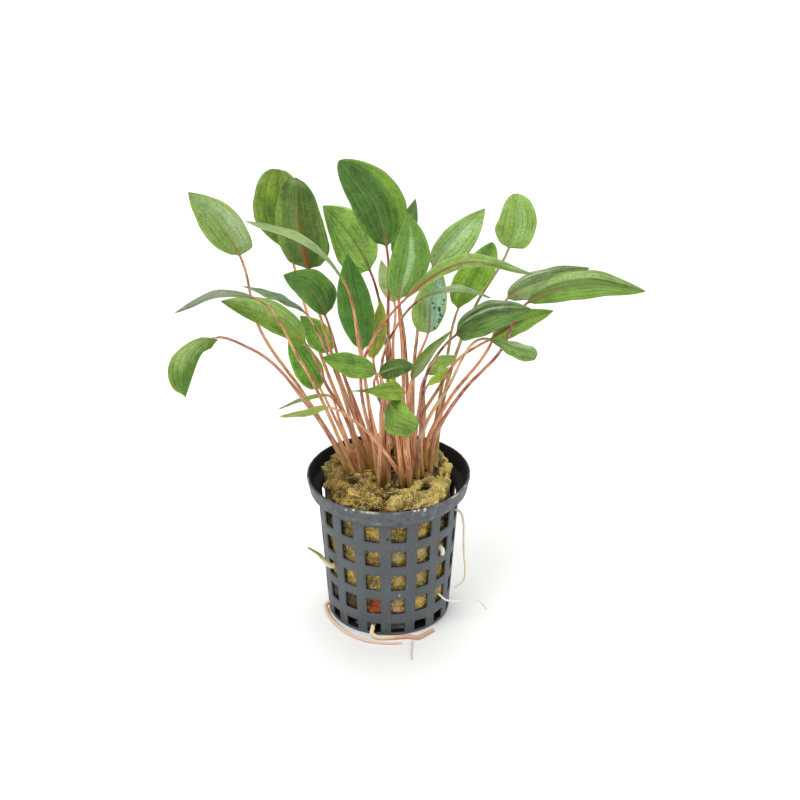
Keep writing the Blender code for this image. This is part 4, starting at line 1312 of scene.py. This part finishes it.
@dataclass(frozen=True)
class WetRockWool:
    """Rock wool, spun mineral fibre, wet and stained by algae: matt and tan, with painted shade in
    its pits and painted highlights on its crumbs.
    """

    fibre: str = "#CEAD50"
    light: str = "#F1DB8C"
    dry_and_lit: str = "#F9E592"
    dark: str = "#5C451C"
    pit_shade: str = "#1F1710"
    spot_radius: float = 21.3
    spots: tuple[Spot, ...] = (
        Spot(-12.0, 11.2, 3.7, "#A8431A"), Spot(-17.6, 12.6, 2.0, "#2E1A10"),
        Spot(-36.2, 11.7, 4.8, "#33180C"), Spot(8.8, 9.6, 2.0, "#D9A294"),
        Spot(8.8, 13.2, 1.6, "#BFA266"), Spot(53.8, 9.4, 2.8, "#5A2A22"),
        Spot(-58.7, 11.0, 4.0, "#241A12"), Spot(-36.2, 40.0, 2.4, "#8A7A48"),
        Spot(-13.7, 30.0, 2.2, "#7C6A3E"), Spot(-15.0, 21.0, 2.0, "#6E5F42"),
        Spot(8.8, 31.0, 2.6, "#C9B47C"), Spot(31.3, 32.0, 2.6, "#CDBB7A"),
        Spot(31.3, 21.5, 2.6, "#C6B078"), Spot(8.8, 21.5, 2.4, "#C0A878"))

    def material(self, name: str, strands: bool) -> bpy.types.Material:
        """Build the wool's finish.

        Args:
            name: The finish's name.
            strands: Whether it is for loose fibres, which carry their own tint.

        Returns:
            The material.
        """
        paint = Palette(name)
        space = paint.add("TexCoord", out=3)
        sideways, height = (paint.add("SeparateXYZ", {0: space}, out) for out in (0, 2))
        clump = paint.add("TexNoise", {0: space, "Scale": 210.0, "Detail": 4.0, "Roughness": 0.6})
        fluff = paint.add("TexNoise", {0: space, "Scale": 1100.0, "Detail": 3.0, "Roughness": 0.7})
        paint.coat = paint.blend(self.dark, self.fibre, (clump, 0.36, 0.66))
        paint.lay(self.light, (fluff, 0.48, 0.72))
        if strands:
            # Each fibre's tint, half random and half painted light and shade from the skin's depth,
            # lays it paler and darker.
            tint = paint.add("Attribute", attribute_name="strand", out=2)
            paint.lay(self.light, (tint, 0.35, 0.85))
            paint.lay(self.dark, (tint, 0.45, 0.15))
        else:
            # Painted highlight on the raised crumbs and painted shade in the pits, by how far the
            # skin is pushed out and in.
            depth = paint.add("Attribute", attribute_name="depth", out=1)
            depth = paint.add("SeparateXYZ", {0: depth})
            paint.lay(self.light, (depth, 0.0, 1.2))
            paint.lay(self.pit_shade, (depth, -0.6, -1.3))
        # Over the top, the right side is laid paler, partly dry tufts and partly painted light, and
        # the left side darker as painted shade.
        side = paint.add("Math", {0: clump, 1: 0.02, 2: sideways}, operation="MULTIPLY_ADD")
        top = (height, 0.044, 0.048)
        paint.lay(self.dry_and_lit, (side, 0.012, 0.03), top, 0.6)
        paint.lay(self.dark, (side, 0.006, -0.012), top, 0.5)
        stir = paint.where(clump, 0.002)
        for spot in self.spots:
            paint.stain(space, stir, spot, self.spot_radius, 1.6)
        # Painted shade round the pocket's rim, between the petioles' feet.
        gaps = self.pocket_reach(paint, space)
        paint.lay(self.pit_shade, (gaps, 1.2, 0.9), (clump, 0.5, 0.43), 0.85)
        # Painted shade low on the plug, towards the pot's floor.
        paint.lay(self.pit_shade, (height, 0.0075, 0.004), 0.95)
        return paint.finish({"Roughness": 0.92, "IOR": 1.5}, None if strands else fluff, 0.5)

    def pocket_reach(self, paint: Palette, space: Socket) -> Socket:
        """Return how far from the pocket's middle a place is, 1 on the pocket's rim."""
        centre = (*(part * MM for part in RockWool.POCKET_CENTRE), 0.0)
        half = (*(part * MM for part in RockWool.POCKET_HALF), 1.0)
        flat = space
        for operation, value in (("SUBTRACT", centre), ("DIVIDE", half),
                                 ("MULTIPLY", (1.0, 1.0, 0.0))):
            flat = paint.add("VectorMath", {0: flat, 1: value}, operation=operation)
        return paint.add("VectorMath", {0: flat}, 1, operation="LENGTH")


class RockWool:
    """The plug of rock wool: a lumpy body that closes round the crowns, under loose fibres."""

    AROUND = 220
    FOOT = (1.3, 11.0)
    FULL_HEIGHTS = (7.2, 22.0, 34.0, 44.5)
    NECK = 47.6
    SHOULDER = 50.5
    LUMPS = ((3, 0.33, 0.5), (5, -0.5, 0.35))
    CREST_RINGS = ((0.3, 0.6), (0.6, 0.0), (1.0, 0.9))
    CREST = 54.9
    BACK_RISE = 2.0
    RIGHT_DROP = 0.4
    RADIUS_HIGH = 20.8
    FRONT_BULGE = 3.6
    POCKET_CENTRE = (2.4, -1.4)
    POCKET_HALF = (16.6, 11.1)
    # Between the petioles the loose wool stands higher than the solid's own pocket floor.
    FILL = 51.5
    FILL_DOME = 0.9
    POCKET_SIDE_DROP = 3.2
    # Steps between one ring of the profile and the next, from the foot's middle to the pocket's.
    STEPS = (3, 5, 16, 13, 13, 6, 6, 9, 8, 10, 5, 26)
    FIBRE_RADIUS = 0.12
    FIBRE_LENGTHS = (1.0, 3.4)
    FIBRE_BEND = 1.4
    # How wide a column is, in millimetres, where every drawn fibre is kept.
    RIM_STEP = 0.6
    FIBRE_ROWS = 5
    # Rows of the skin where the loose fibres start over the side and over the top.
    SIDE_ROW = 9
    CREST_ROW = 62
    TOP_FIBRES = 7600
    SIDE_FIBRES = 5200
    SEED = 41

    def __init__(self, pot: NetPot) -> None:
        """Fit the plug into its pot.

        Args:
            pot: The pot that holds it.
        """
        self.pot = pot
        self.random = Random(self.SEED)
        self.rows = sum(self.STEPS)
        self.skin: list[list[Vector]] = []
        self.normals: list[list[Vector]] = []
        self.depths: list[list[float]] = []

    def lump(self, turn: float, height: float) -> float:
        """Return the solid's own small unevenness, in millimetres."""
        return sum(size * sin(waves * turn + drift * height) for waves, drift, size in self.LUMPS)

    def pocket_point(self, turn: float, height: float) -> Vector:
        """Return a point on the wall of the pocket."""
        return Vector((self.POCKET_CENTRE[0] + self.POCKET_HALF[0] * cos(turn),
                       self.POCKET_CENTRE[1] + self.POCKET_HALF[1] * sin(turn), height))

    def profile(self, turn: float) -> list[Vector]:
        """Return the solid's points on one side, from the foot's middle to the pocket's middle."""
        flat = cos(radians((360 / self.pot.columns - self.pot.hole_angle) / 2))
        levels = [(self.FOOT[0], 0.0, 0.0), (*self.FOOT, 0.0)]
        for height in self.FULL_HEIGHTS:
            reach = (self.pot.wall_radius(height) - self.pot.wall) * flat - GAP
            levels.append((height, reach, 0.0))
        levels.append((self.NECK, self.RADIUS_HIGH, 0.6))
        levels.append((self.SHOULDER, self.RADIUS_HIGH - 0.4, 1.0))
        points = []
        for height, reach, bulge in levels:
            reach += self.FRONT_BULGE * bulge * max(-sin(turn), 0.0)
            if height > self.pot.shoulder[0]:
                reach += self.lump(turn, height)
            points.append(Vector((reach * cos(turn), reach * sin(turn), height)))
        start = points[-1]
        crest = self.CREST + self.BACK_RISE * sin(turn) - self.RIGHT_DROP * cos(turn)
        for share, drop in self.CREST_RINGS:
            height = crest - drop - self.POCKET_SIDE_DROP * cos(turn) ** 2 * share ** 4
            point = start.lerp(self.pocket_point(turn, height), share)
            point.z = height + self.lump(turn, share) * (1 - share)
            points.append(point)
        points.append(self.pocket_point(turn, self.FILL).lerp(points[-1], 0.3))
        points.append(Vector((*self.POCKET_CENTRE, self.FILL + self.FILL_DOME)))
        return points

    def shape_skin(self) -> None:
        """Work out the lumpy skin's places and which way each faces."""
        columns = []
        for column in range(self.AROUND):
            turn = 2 * pi * column / self.AROUND
            columns.append(smooth_path(self.profile(turn), self.STEPS))
        for row in range(self.rows + 1):
            line, facing, pushes = [], [], []
            for column, path in enumerate(columns):
                turn = 2 * pi * column / self.AROUND
                ahead = path[min(row + 1, self.rows)] - path[max(row - 1, 0)]
                around = Vector((-sin(turn), cos(turn), 0))
                normal = around.cross(ahead).normalized()
                push = self.roughness(path[row], row, turn)
                line.append(path[row] + normal * push)
                facing.append(normal)
                pushes.append(push)
            self.skin.append(line)
            self.normals.append(facing)
            self.depths.append(pushes)

    def roughness(self, point: Vector, row: int, turn: float) -> float:
        """Return how far one point is pushed out into crumbs and tufts, or in into pits."""
        top = smoothstep(44, 50, point.z)
        clump = noise.noise(point / 5.2)
        tuft = noise.noise(point / 2.3 + Vector((7, 0, 3)))
        crumb = abs(noise.noise(point / 4.4 + Vector((0, 11, 5))))
        crumb += 0.8 * abs(noise.noise(point / 1.9 + Vector((5, 0, 2))))
        fluff = noise.noise(point / 0.75)
        push = -0.5 + 0.35 * clump + 0.35 * tuft + 0.2 * fluff
        push += top * (0.8 * clump + 0.6 * tuft + 2.2 * crumb - 0.8)
        if row in (0, self.rows):
            push = 0.0
        side = abs(cos(turn)) ** 5
        gap = smoothstep(33, 43, point.z) * (1 - smoothstep(46, 51, point.z))
        return push - 1.9 * side * gap

    def build(self, finish: WetRockWool) -> None:
        """Make the body and its fibres.

        Args:
            finish: The wool's finish.
        """
        self.shape_skin()
        depth = {"depth": lambda column, row: (self.depths[row][column % self.AROUND], 0.0, 0.0)}
        bm = wrap_grid(self.AROUND, self.rows, lambda column, row: self.skin[row][column], depth)
        place_piece(bm, "rock_wool_body", finish.material("rock_wool_mat", False), Slot.WOOL,
                    ["rock_wool"])
        loose = finish.material("rock_wool_strand", True)
        for place, low, high, lift, count in (
                ("top", self.CREST_ROW, self.rows - 2, 0.5, self.TOP_FIBRES),
                ("side", self.SIDE_ROW, self.CREST_ROW, 0.2, self.SIDE_FIBRES)):
            fibres = [self.lay_fibre(low, high, lift) for _ in range(count)]
            self.make_strands(f"rock_wool_{place}_fibres", fibres, loose)

    def skin_spot(self, column: float, row: float) -> tuple[Vector, Vector]:
        """Return the skin's place and facing between its own columns and rows."""
        row = min(max(row, 0.0), self.rows - 1e-3)
        low, part = int(row), row - int(row)
        first = int(floor(column))
        left, right = first % self.AROUND, (first + 1) % self.AROUND
        place, facing = (
            grid[low][left].lerp(grid[low][right], column - first).lerp(
                grid[low + 1][left].lerp(grid[low + 1][right], column - first), part)
            for grid in (self.skin, self.normals))
        return place, facing

    def lay_fibre(self, low_row: float, high_row: float, lift: float) -> tuple[list[Vector], float]:
        """Lay one curled fibre along the skin.

        Args:
            low_row: The lowest row that it may start at.
            high_row: The highest.
            lift: How far its middle stands off the skin, in millimetres.

        Returns:
            Its points, and its tint from dark to light.
        """
        draw = self.random
        step_across = 0.0
        while draw.random() > step_across / self.RIM_STEP:
            column = draw.uniform(0, self.AROUND)
            row = draw.uniform(low_row, high_row)
            here = self.skin_spot(column, row)[0]
            step_across = max((self.skin_spot(column + 1, row)[0] - here).length, 0.05)
        step_along = max((self.skin_spot(column, row + 1)[0] - here).length, 0.05)
        heading = draw.uniform(0, 2 * pi)
        bend = draw.uniform(-self.FIBRE_BEND, self.FIBRE_BEND)
        length = draw.uniform(*self.FIBRE_LENGTHS)
        height = draw.uniform(0.3, 1.0) * lift
        depth = self.depths[int(row)][int(column)]
        # Half random, half painted: fibres in pits darker as painted shade, on crumbs paler as
        # painted light.
        tint = 0.5 * draw.random() + 0.5 * smoothstep(-1.2, 0.9, depth)
        points = []
        for number in range(self.FIBRE_ROWS + 1):
            share = number / self.FIBRE_ROWS
            place, normal = self.skin_spot(column, row)
            points.append(place + normal * (height * sin(pi * (0.1 + 0.75 * share)) - 0.02))
            turn = heading + bend * share
            column += cos(turn) * length / self.FIBRE_ROWS / step_across
            row += sin(turn) * length / self.FIBRE_ROWS / step_along
        return points, tint

    def make_strands(self, name: str, fibres: list[tuple[list[Vector], float]],
                     material: bpy.types.Material) -> None:
        """Make many fibres as one piece: three-sided spindles cut from one grid.

        Args:
            name: The piece's name.
            fibres: Each fibre's points and tint.
            material: Their finish.
        """
        bm = bmesh.new()
        bmesh.ops.create_grid(bm, x_segments=4 * len(fibres) - 1, y_segments=self.FIBRE_ROWS,
                              size=1.0)
        tint = bm.verts.layers.float.new("strand")
        last = 4 * len(fibres) - 1
        gaps = []
        for face in bm.faces:
            if round((face.calc_center_median().x + 1) / 2 * last - 0.5) % 4 == 3:
                gaps.append(face)
        bmesh.ops.delete(bm, geom=gaps, context="FACES")
        for vert in bm.verts:
            number, corner = divmod(round((vert.co.x + 1) / 2 * last), 4)
            row = round((vert.co.y + 1) / 2 * self.FIBRE_ROWS)
            points, shade = fibres[number]
            ahead = points[min(row + 1, self.FIBRE_ROWS)] - points[max(row - 1, 0)]
            side = ahead.cross(Vector((0.3, 0.2, 1))).normalized()
            upward = side.cross(ahead).normalized()
            thin = 0.0 if row in (0, self.FIBRE_ROWS) else self.FIBRE_RADIUS * (0.7 + 0.6 * shade)
            turn = 2 * pi * (corner % 3) / 3
            vert[tint] = shade
            vert.co = points[row] + (side * cos(turn) + upward * sin(turn)) * thin
        bmesh.ops.remove_doubles(bm, verts=bm.verts, dist=1e-6)
        place_piece(bm, name, material, Slot.WOOL, [])


@dataclass(frozen=True)
class LivingRoot:
    """Living water root: smooth, waxy and slightly see-through, cream with pink growing parts."""

    body: str = "#EAD5A6"
    blush: str = "#DB9A78"
    stain: str = "#B98A5A"
    blush_from: float = 0.55

    def material(self, name: str) -> bpy.types.Material:
        """Build a root's finish, which reads its own run attribute."""
        paint = Palette(name)
        run = paint.add("Attribute", attribute_name="run", out=1)
        along = paint.add("SeparateXYZ", {0: run})
        space = paint.add("TexCoord", out=3)
        cloud = paint.add("TexNoise", {0: space, "Scale": 240.0, "Detail": 3.0})
        skin = paint.add("TexNoise", {0: space, "Scale": 1300.0, "Detail": 2.0})
        uneven = paint.add("Math", {0: cloud, 1: 0.5, 2: along}, operation="MULTIPLY_ADD")
        ripe = (uneven, self.blush_from + 0.1, self.blush_from + 0.45)
        paint.coat = paint.blend(self.body, self.blush, ripe)
        paint.lay(self.stain, (cloud, 0.55, 0.7), 0.3)
        return paint.finish({
            "Roughness": 0.45,
            "IOR": 1.38,
            "Subsurface Weight": 0.25,
            "Subsurface Radius": (1.0, 0.6, 0.35),
            "Subsurface Scale": 0.6 * MM,
        }, skin, 0.06)


@dataclass
class Root:
    """One root, shoot or rootstock: a tapering, slightly knotty tube along its route."""

    name: str
    start: float
    end: float
    points: list[Point]
    blush_from: float = 0.6
    body: str = "#EAD5A6"
    blush: str = "#DDA58A"
    around: int = 14
    rows: int = 90
    knots: float = 0.14

    def build(self, finish: bpy.types.Material, slot: Slot) -> None:
        """Make the tube as one piece.

        Args:
            finish: Its finish.
            slot: The record's slot of that finish.
        """
        path = smooth_path([Vector(point) for point in self.points])
        self.route = Route.along(path, [row / self.rows for row in range(self.rows + 1)])
        side = Vector((0, 0, 1))
        if abs(self.route.directions[0].z) > 0.9:
            side = Vector((0, 1, 0))
        self.sides = carry_sides(side, self.route.directions)
        bm = wrap_grid(self.around, self.rows, self.place, {"run": self.run_mark})
        place_piece(bm, self.name + "_living", finish, slot, [self.name])

    def girth(self, share: float) -> float:
        """Return the tube's radius at a share of its length, rounded off at both ends."""
        radius = self.start + (self.end - self.start) * share
        ends = min(share / 0.02, (1 - share) / 0.03, 1.0)
        return radius * max(1 - (1 - ends) ** 2, 0.0) ** 0.5

    def place(self, column: int, row: int) -> Vector:
        """Return one point of the tube."""
        middle = self.route.places[row]
        side, across = self.sides[row]
        turn = 2 * pi * column / self.around
        radius = self.girth(row / self.rows)
        if 0 < row < self.rows:
            knot = noise.noise(middle * 0.5 + side * cos(turn) * 0.4 + across * sin(turn) * 0.4)
            radius *= 1 + self.knots * knot
        return middle + (side * cos(turn) + across * sin(turn)) * radius

    def run_mark(self, column: int, row: int) -> Point:
        """Return the share of the root's length at a row."""
        return (row / self.rows, column / self.around, 0.0)


# Each root's radius at its start and end, its route, where it starts to blush, and its colours.
ROOTS = [
    Root("root_front", 0.8, 0.5, [(-4.6, -15.4, 3.1), (-5.4, -20.2, 2.9), (-5.6, -22.0, 1.9),
                                  (-4.2, -22.8, 1.1), (0.5, -23.0, 1.0), (7.0, -22.4, 1.0),
                                  (9.5, -23.1, 1.0), (12.2, -21.0, 1.0), (15.4, -17.8, 0.8)], 0.45,
         "#EBDAB6", "#D9A58C"),
    Root("root_left", 0.7, 0.35, [(-14.6, -3.0, 3.2), (-19.2, -3.6, 3.0), (-21.5, -4.7, 2.2),
                                  (-21.0, -7.4, 1.1), (-19.3, -11.8, 0.8), (-16.7, -16.3, 0.8),
                                  (-14.2, -19.5, 0.7), (-10.7, -22.5, 0.7), (-7.3, -24.6, 0.7),
                                  (-3.5, -25.5, 0.6), (0.5, -26.0, 0.6), (4.5, -25.6, 0.5)], 0.3,
         "#D6B996", "#E2C6B0"),
    Root("root_front_hair", 0.22, 0.16, [(7.9, -24.4, 0.5), (7.8, -28.0, 0.5), (7.6, -32.0, 0.4),
                                       (7.8, -35.8, 0.4)], 0.6, "#D9CDBE", "#CDBDAA", 8, 40),
    Root("root_right", 0.5, 0.22, [(21.9, -5.4, 40.6), (24.2, -6.0, 39.6), (25.2, -6.8, 36.0),
                                   (25.3, -7.0, 30.0), (25.5, -7.0, 23.5), (25.9, -7.5, 17.9),
                                   (25.2, -8.0, 13.8), (23.6, -9.2, 12.9), (22.0, -10.6, 12.7)],
         0.6, "#EEE7CB", "#DDCFA2"),
    Root("root_right_low", 0.4, 0.2, [(16.5, -12.0, 11.6), (19.4, -13.2, 9.6), (22.4, -13.2, 9.2),
                                       (24.8, -13.2, 9.4), (27.8, -13.0, 10.6), (30.4, -13.0, 9.4),
                                       (33.4, -13.0, 5.4)], 0.6, "#EDEAE2", "#E2E0DC"),
    Root("root_tip_right", 0.9, 0.6, [(17.0, -13.5, 30.8), (18.0, -14.7, 30.5),
                                      (18.0, -16.2, 29.0)], 0.6, "#F3EFE4", "#EDE4DA", rows=30),
]

SHOOT = Root("side_shoot", 0.95, 0.3, [(-18.3, -11.1, 21.7), (-19.6, -11.9, 22.5),
                                       (-23.4, -13.7, 28.0), (-27.0, -15.0, 31.5)], 0.25,
             around=20, rows=60, knots=0.06)


def main() -> None:
    """Build every piece of the dressed plant, then the light, floor and camera."""
    logging.basicConfig(level=logging.INFO, format="%(message)s")
    pot = NetPot()
    pot.build(MouldedSlate())
    RockWool(pot).build(WetRockWool())
    rootstock = LivingRoot("#6E5432", "#4A3520", "#2E2114").material("corky_rootstock")
    for crown, (x, y) in CROWNS.items():
        stub = Root("crown_" + crown, 3.0, 3.1, [(x, y, 47.3), (x, y, 48.5), (x, y, CROWN_TOP)],
                    around=24, rows=16, knots=0.2)
        stub.build(rootstock, Slot.CROWN)
        feet = leaf_feet(crown)
        for leaf in LEAVES:
            if leaf.crown == crown:
                leaf.build(feet[leaf.name])
    for root in ROOTS:
        skin = LivingRoot(root.body, root.blush, blush_from=root.blush_from)
        root.build(skin.material(root.name), Slot.ROOT)
    spear = LivingRoot("#EDE4C0", "#8B9F48", "#CBC588", 0.4)
    SHOOT.build(spear.material("young_shoot"), Slot.SHOOT)
    Studio().build()


@dataclass
class Studio:
    """The plain studio: a pale floor, three soft lamps, an even sky and the camera."""

    lens: float = 102.465
    sensor: float = 36.0
    far: float = 50.0
    paper: str = "#F4F4F2"
    floor_half: float = 6.0
    sky: float = 0.58
    # Each lamp's name, its place and side in metres and its power in watts.
    lamps: tuple[tuple[str, Point, float, float], ...] = (
        ("key_softbox", (-0.6, -0.6, 1.15), 0.8, 10.0),
        ("fill_softbox", (0.95, -0.35, 0.8), 0.8, 3.0),
        ("top_softbox", (0.0, 0.5, 1.25), 0.9, 9.0))
    # What the lamps face, in metres.
    aim: Point = (0.0, 0.0, 0.08)

    def build(self) -> None:
        """Set up the floor, the light and the camera."""
        self.lay_floor()
        self.light_sky()
        for lamp in self.lamps:
            self.hang_lamp(*lamp)
        self.set_camera()

    def lay_floor(self) -> None:
        """Lay the pale floor under the pot."""
        bm = bmesh.new()
        bmesh.ops.create_grid(bm, x_segments=2, y_segments=2, size=self.floor_half)
        mesh = bpy.data.meshes.new("studio_floor")
        bm.to_mesh(mesh)
        bm.free()
        paint = Palette("matt_white_paper")
        mesh.materials.append(paint.finish({"Base Color": self.paper, "Roughness": 0.9}))
        sheet = bpy.data.objects.new("studio_floor", mesh)
        bpy.context.scene.collection.objects.link(sheet)

    def light_sky(self) -> None:
        """Give an even white surround."""
        world = bpy.context.scene.world or bpy.data.worlds.new("studio_sky")
        bpy.context.scene.world = world
        world.use_nodes = True
        sky = world.node_tree.nodes["Background"]
        sky.inputs[0].default_value = (1.0, 1.0, 1.0, 1.0)
        sky.inputs[1].default_value = self.sky

    def hang_lamp(self, name: str, place: Point, size: float, power: float) -> None:
        """Hang one square softbox that faces the plant.

        Args:
            name: The lamp's name.
            place: Where it hangs, in metres.
            size: Its side in metres.
            power: Its power in watts.
        """
        lamp = bpy.data.lights.new(name, "AREA")
        lamp.shape = "SQUARE"
        lamp.size = size
        lamp.energy = power
        thing = bpy.data.objects.new(name, lamp)
        away = Vector(place) - Vector(self.aim)
        turn = away.to_track_quat("Z", "Y").to_matrix().to_4x4()
        thing.matrix_world = Matrix.Translation(place) @ turn
        bpy.context.scene.collection.objects.link(thing)

    def set_camera(self) -> None:
        """Stand the camera where the photograph was taken from."""
        lens = bpy.data.cameras.new("photo_camera")
        lens.lens = self.lens
        lens.sensor_width = self.sensor
        lens.clip_end = self.far
        camera = bpy.data.objects.new("photo_camera", lens)
        sine, cosine = LOOK_DOWN
        turn = Matrix(((1, 0, 0), (0, sine, -cosine), (0, cosine, sine))).to_4x4()
        camera.matrix_world = Matrix.Translation(EYE * MM) @ turn
        bpy.context.scene.collection.objects.link(camera)
        bpy.context.scene.camera = camera
        bpy.context.scene.view_settings.view_transform = "Standard"


if __name__ == "__main__":
    main()
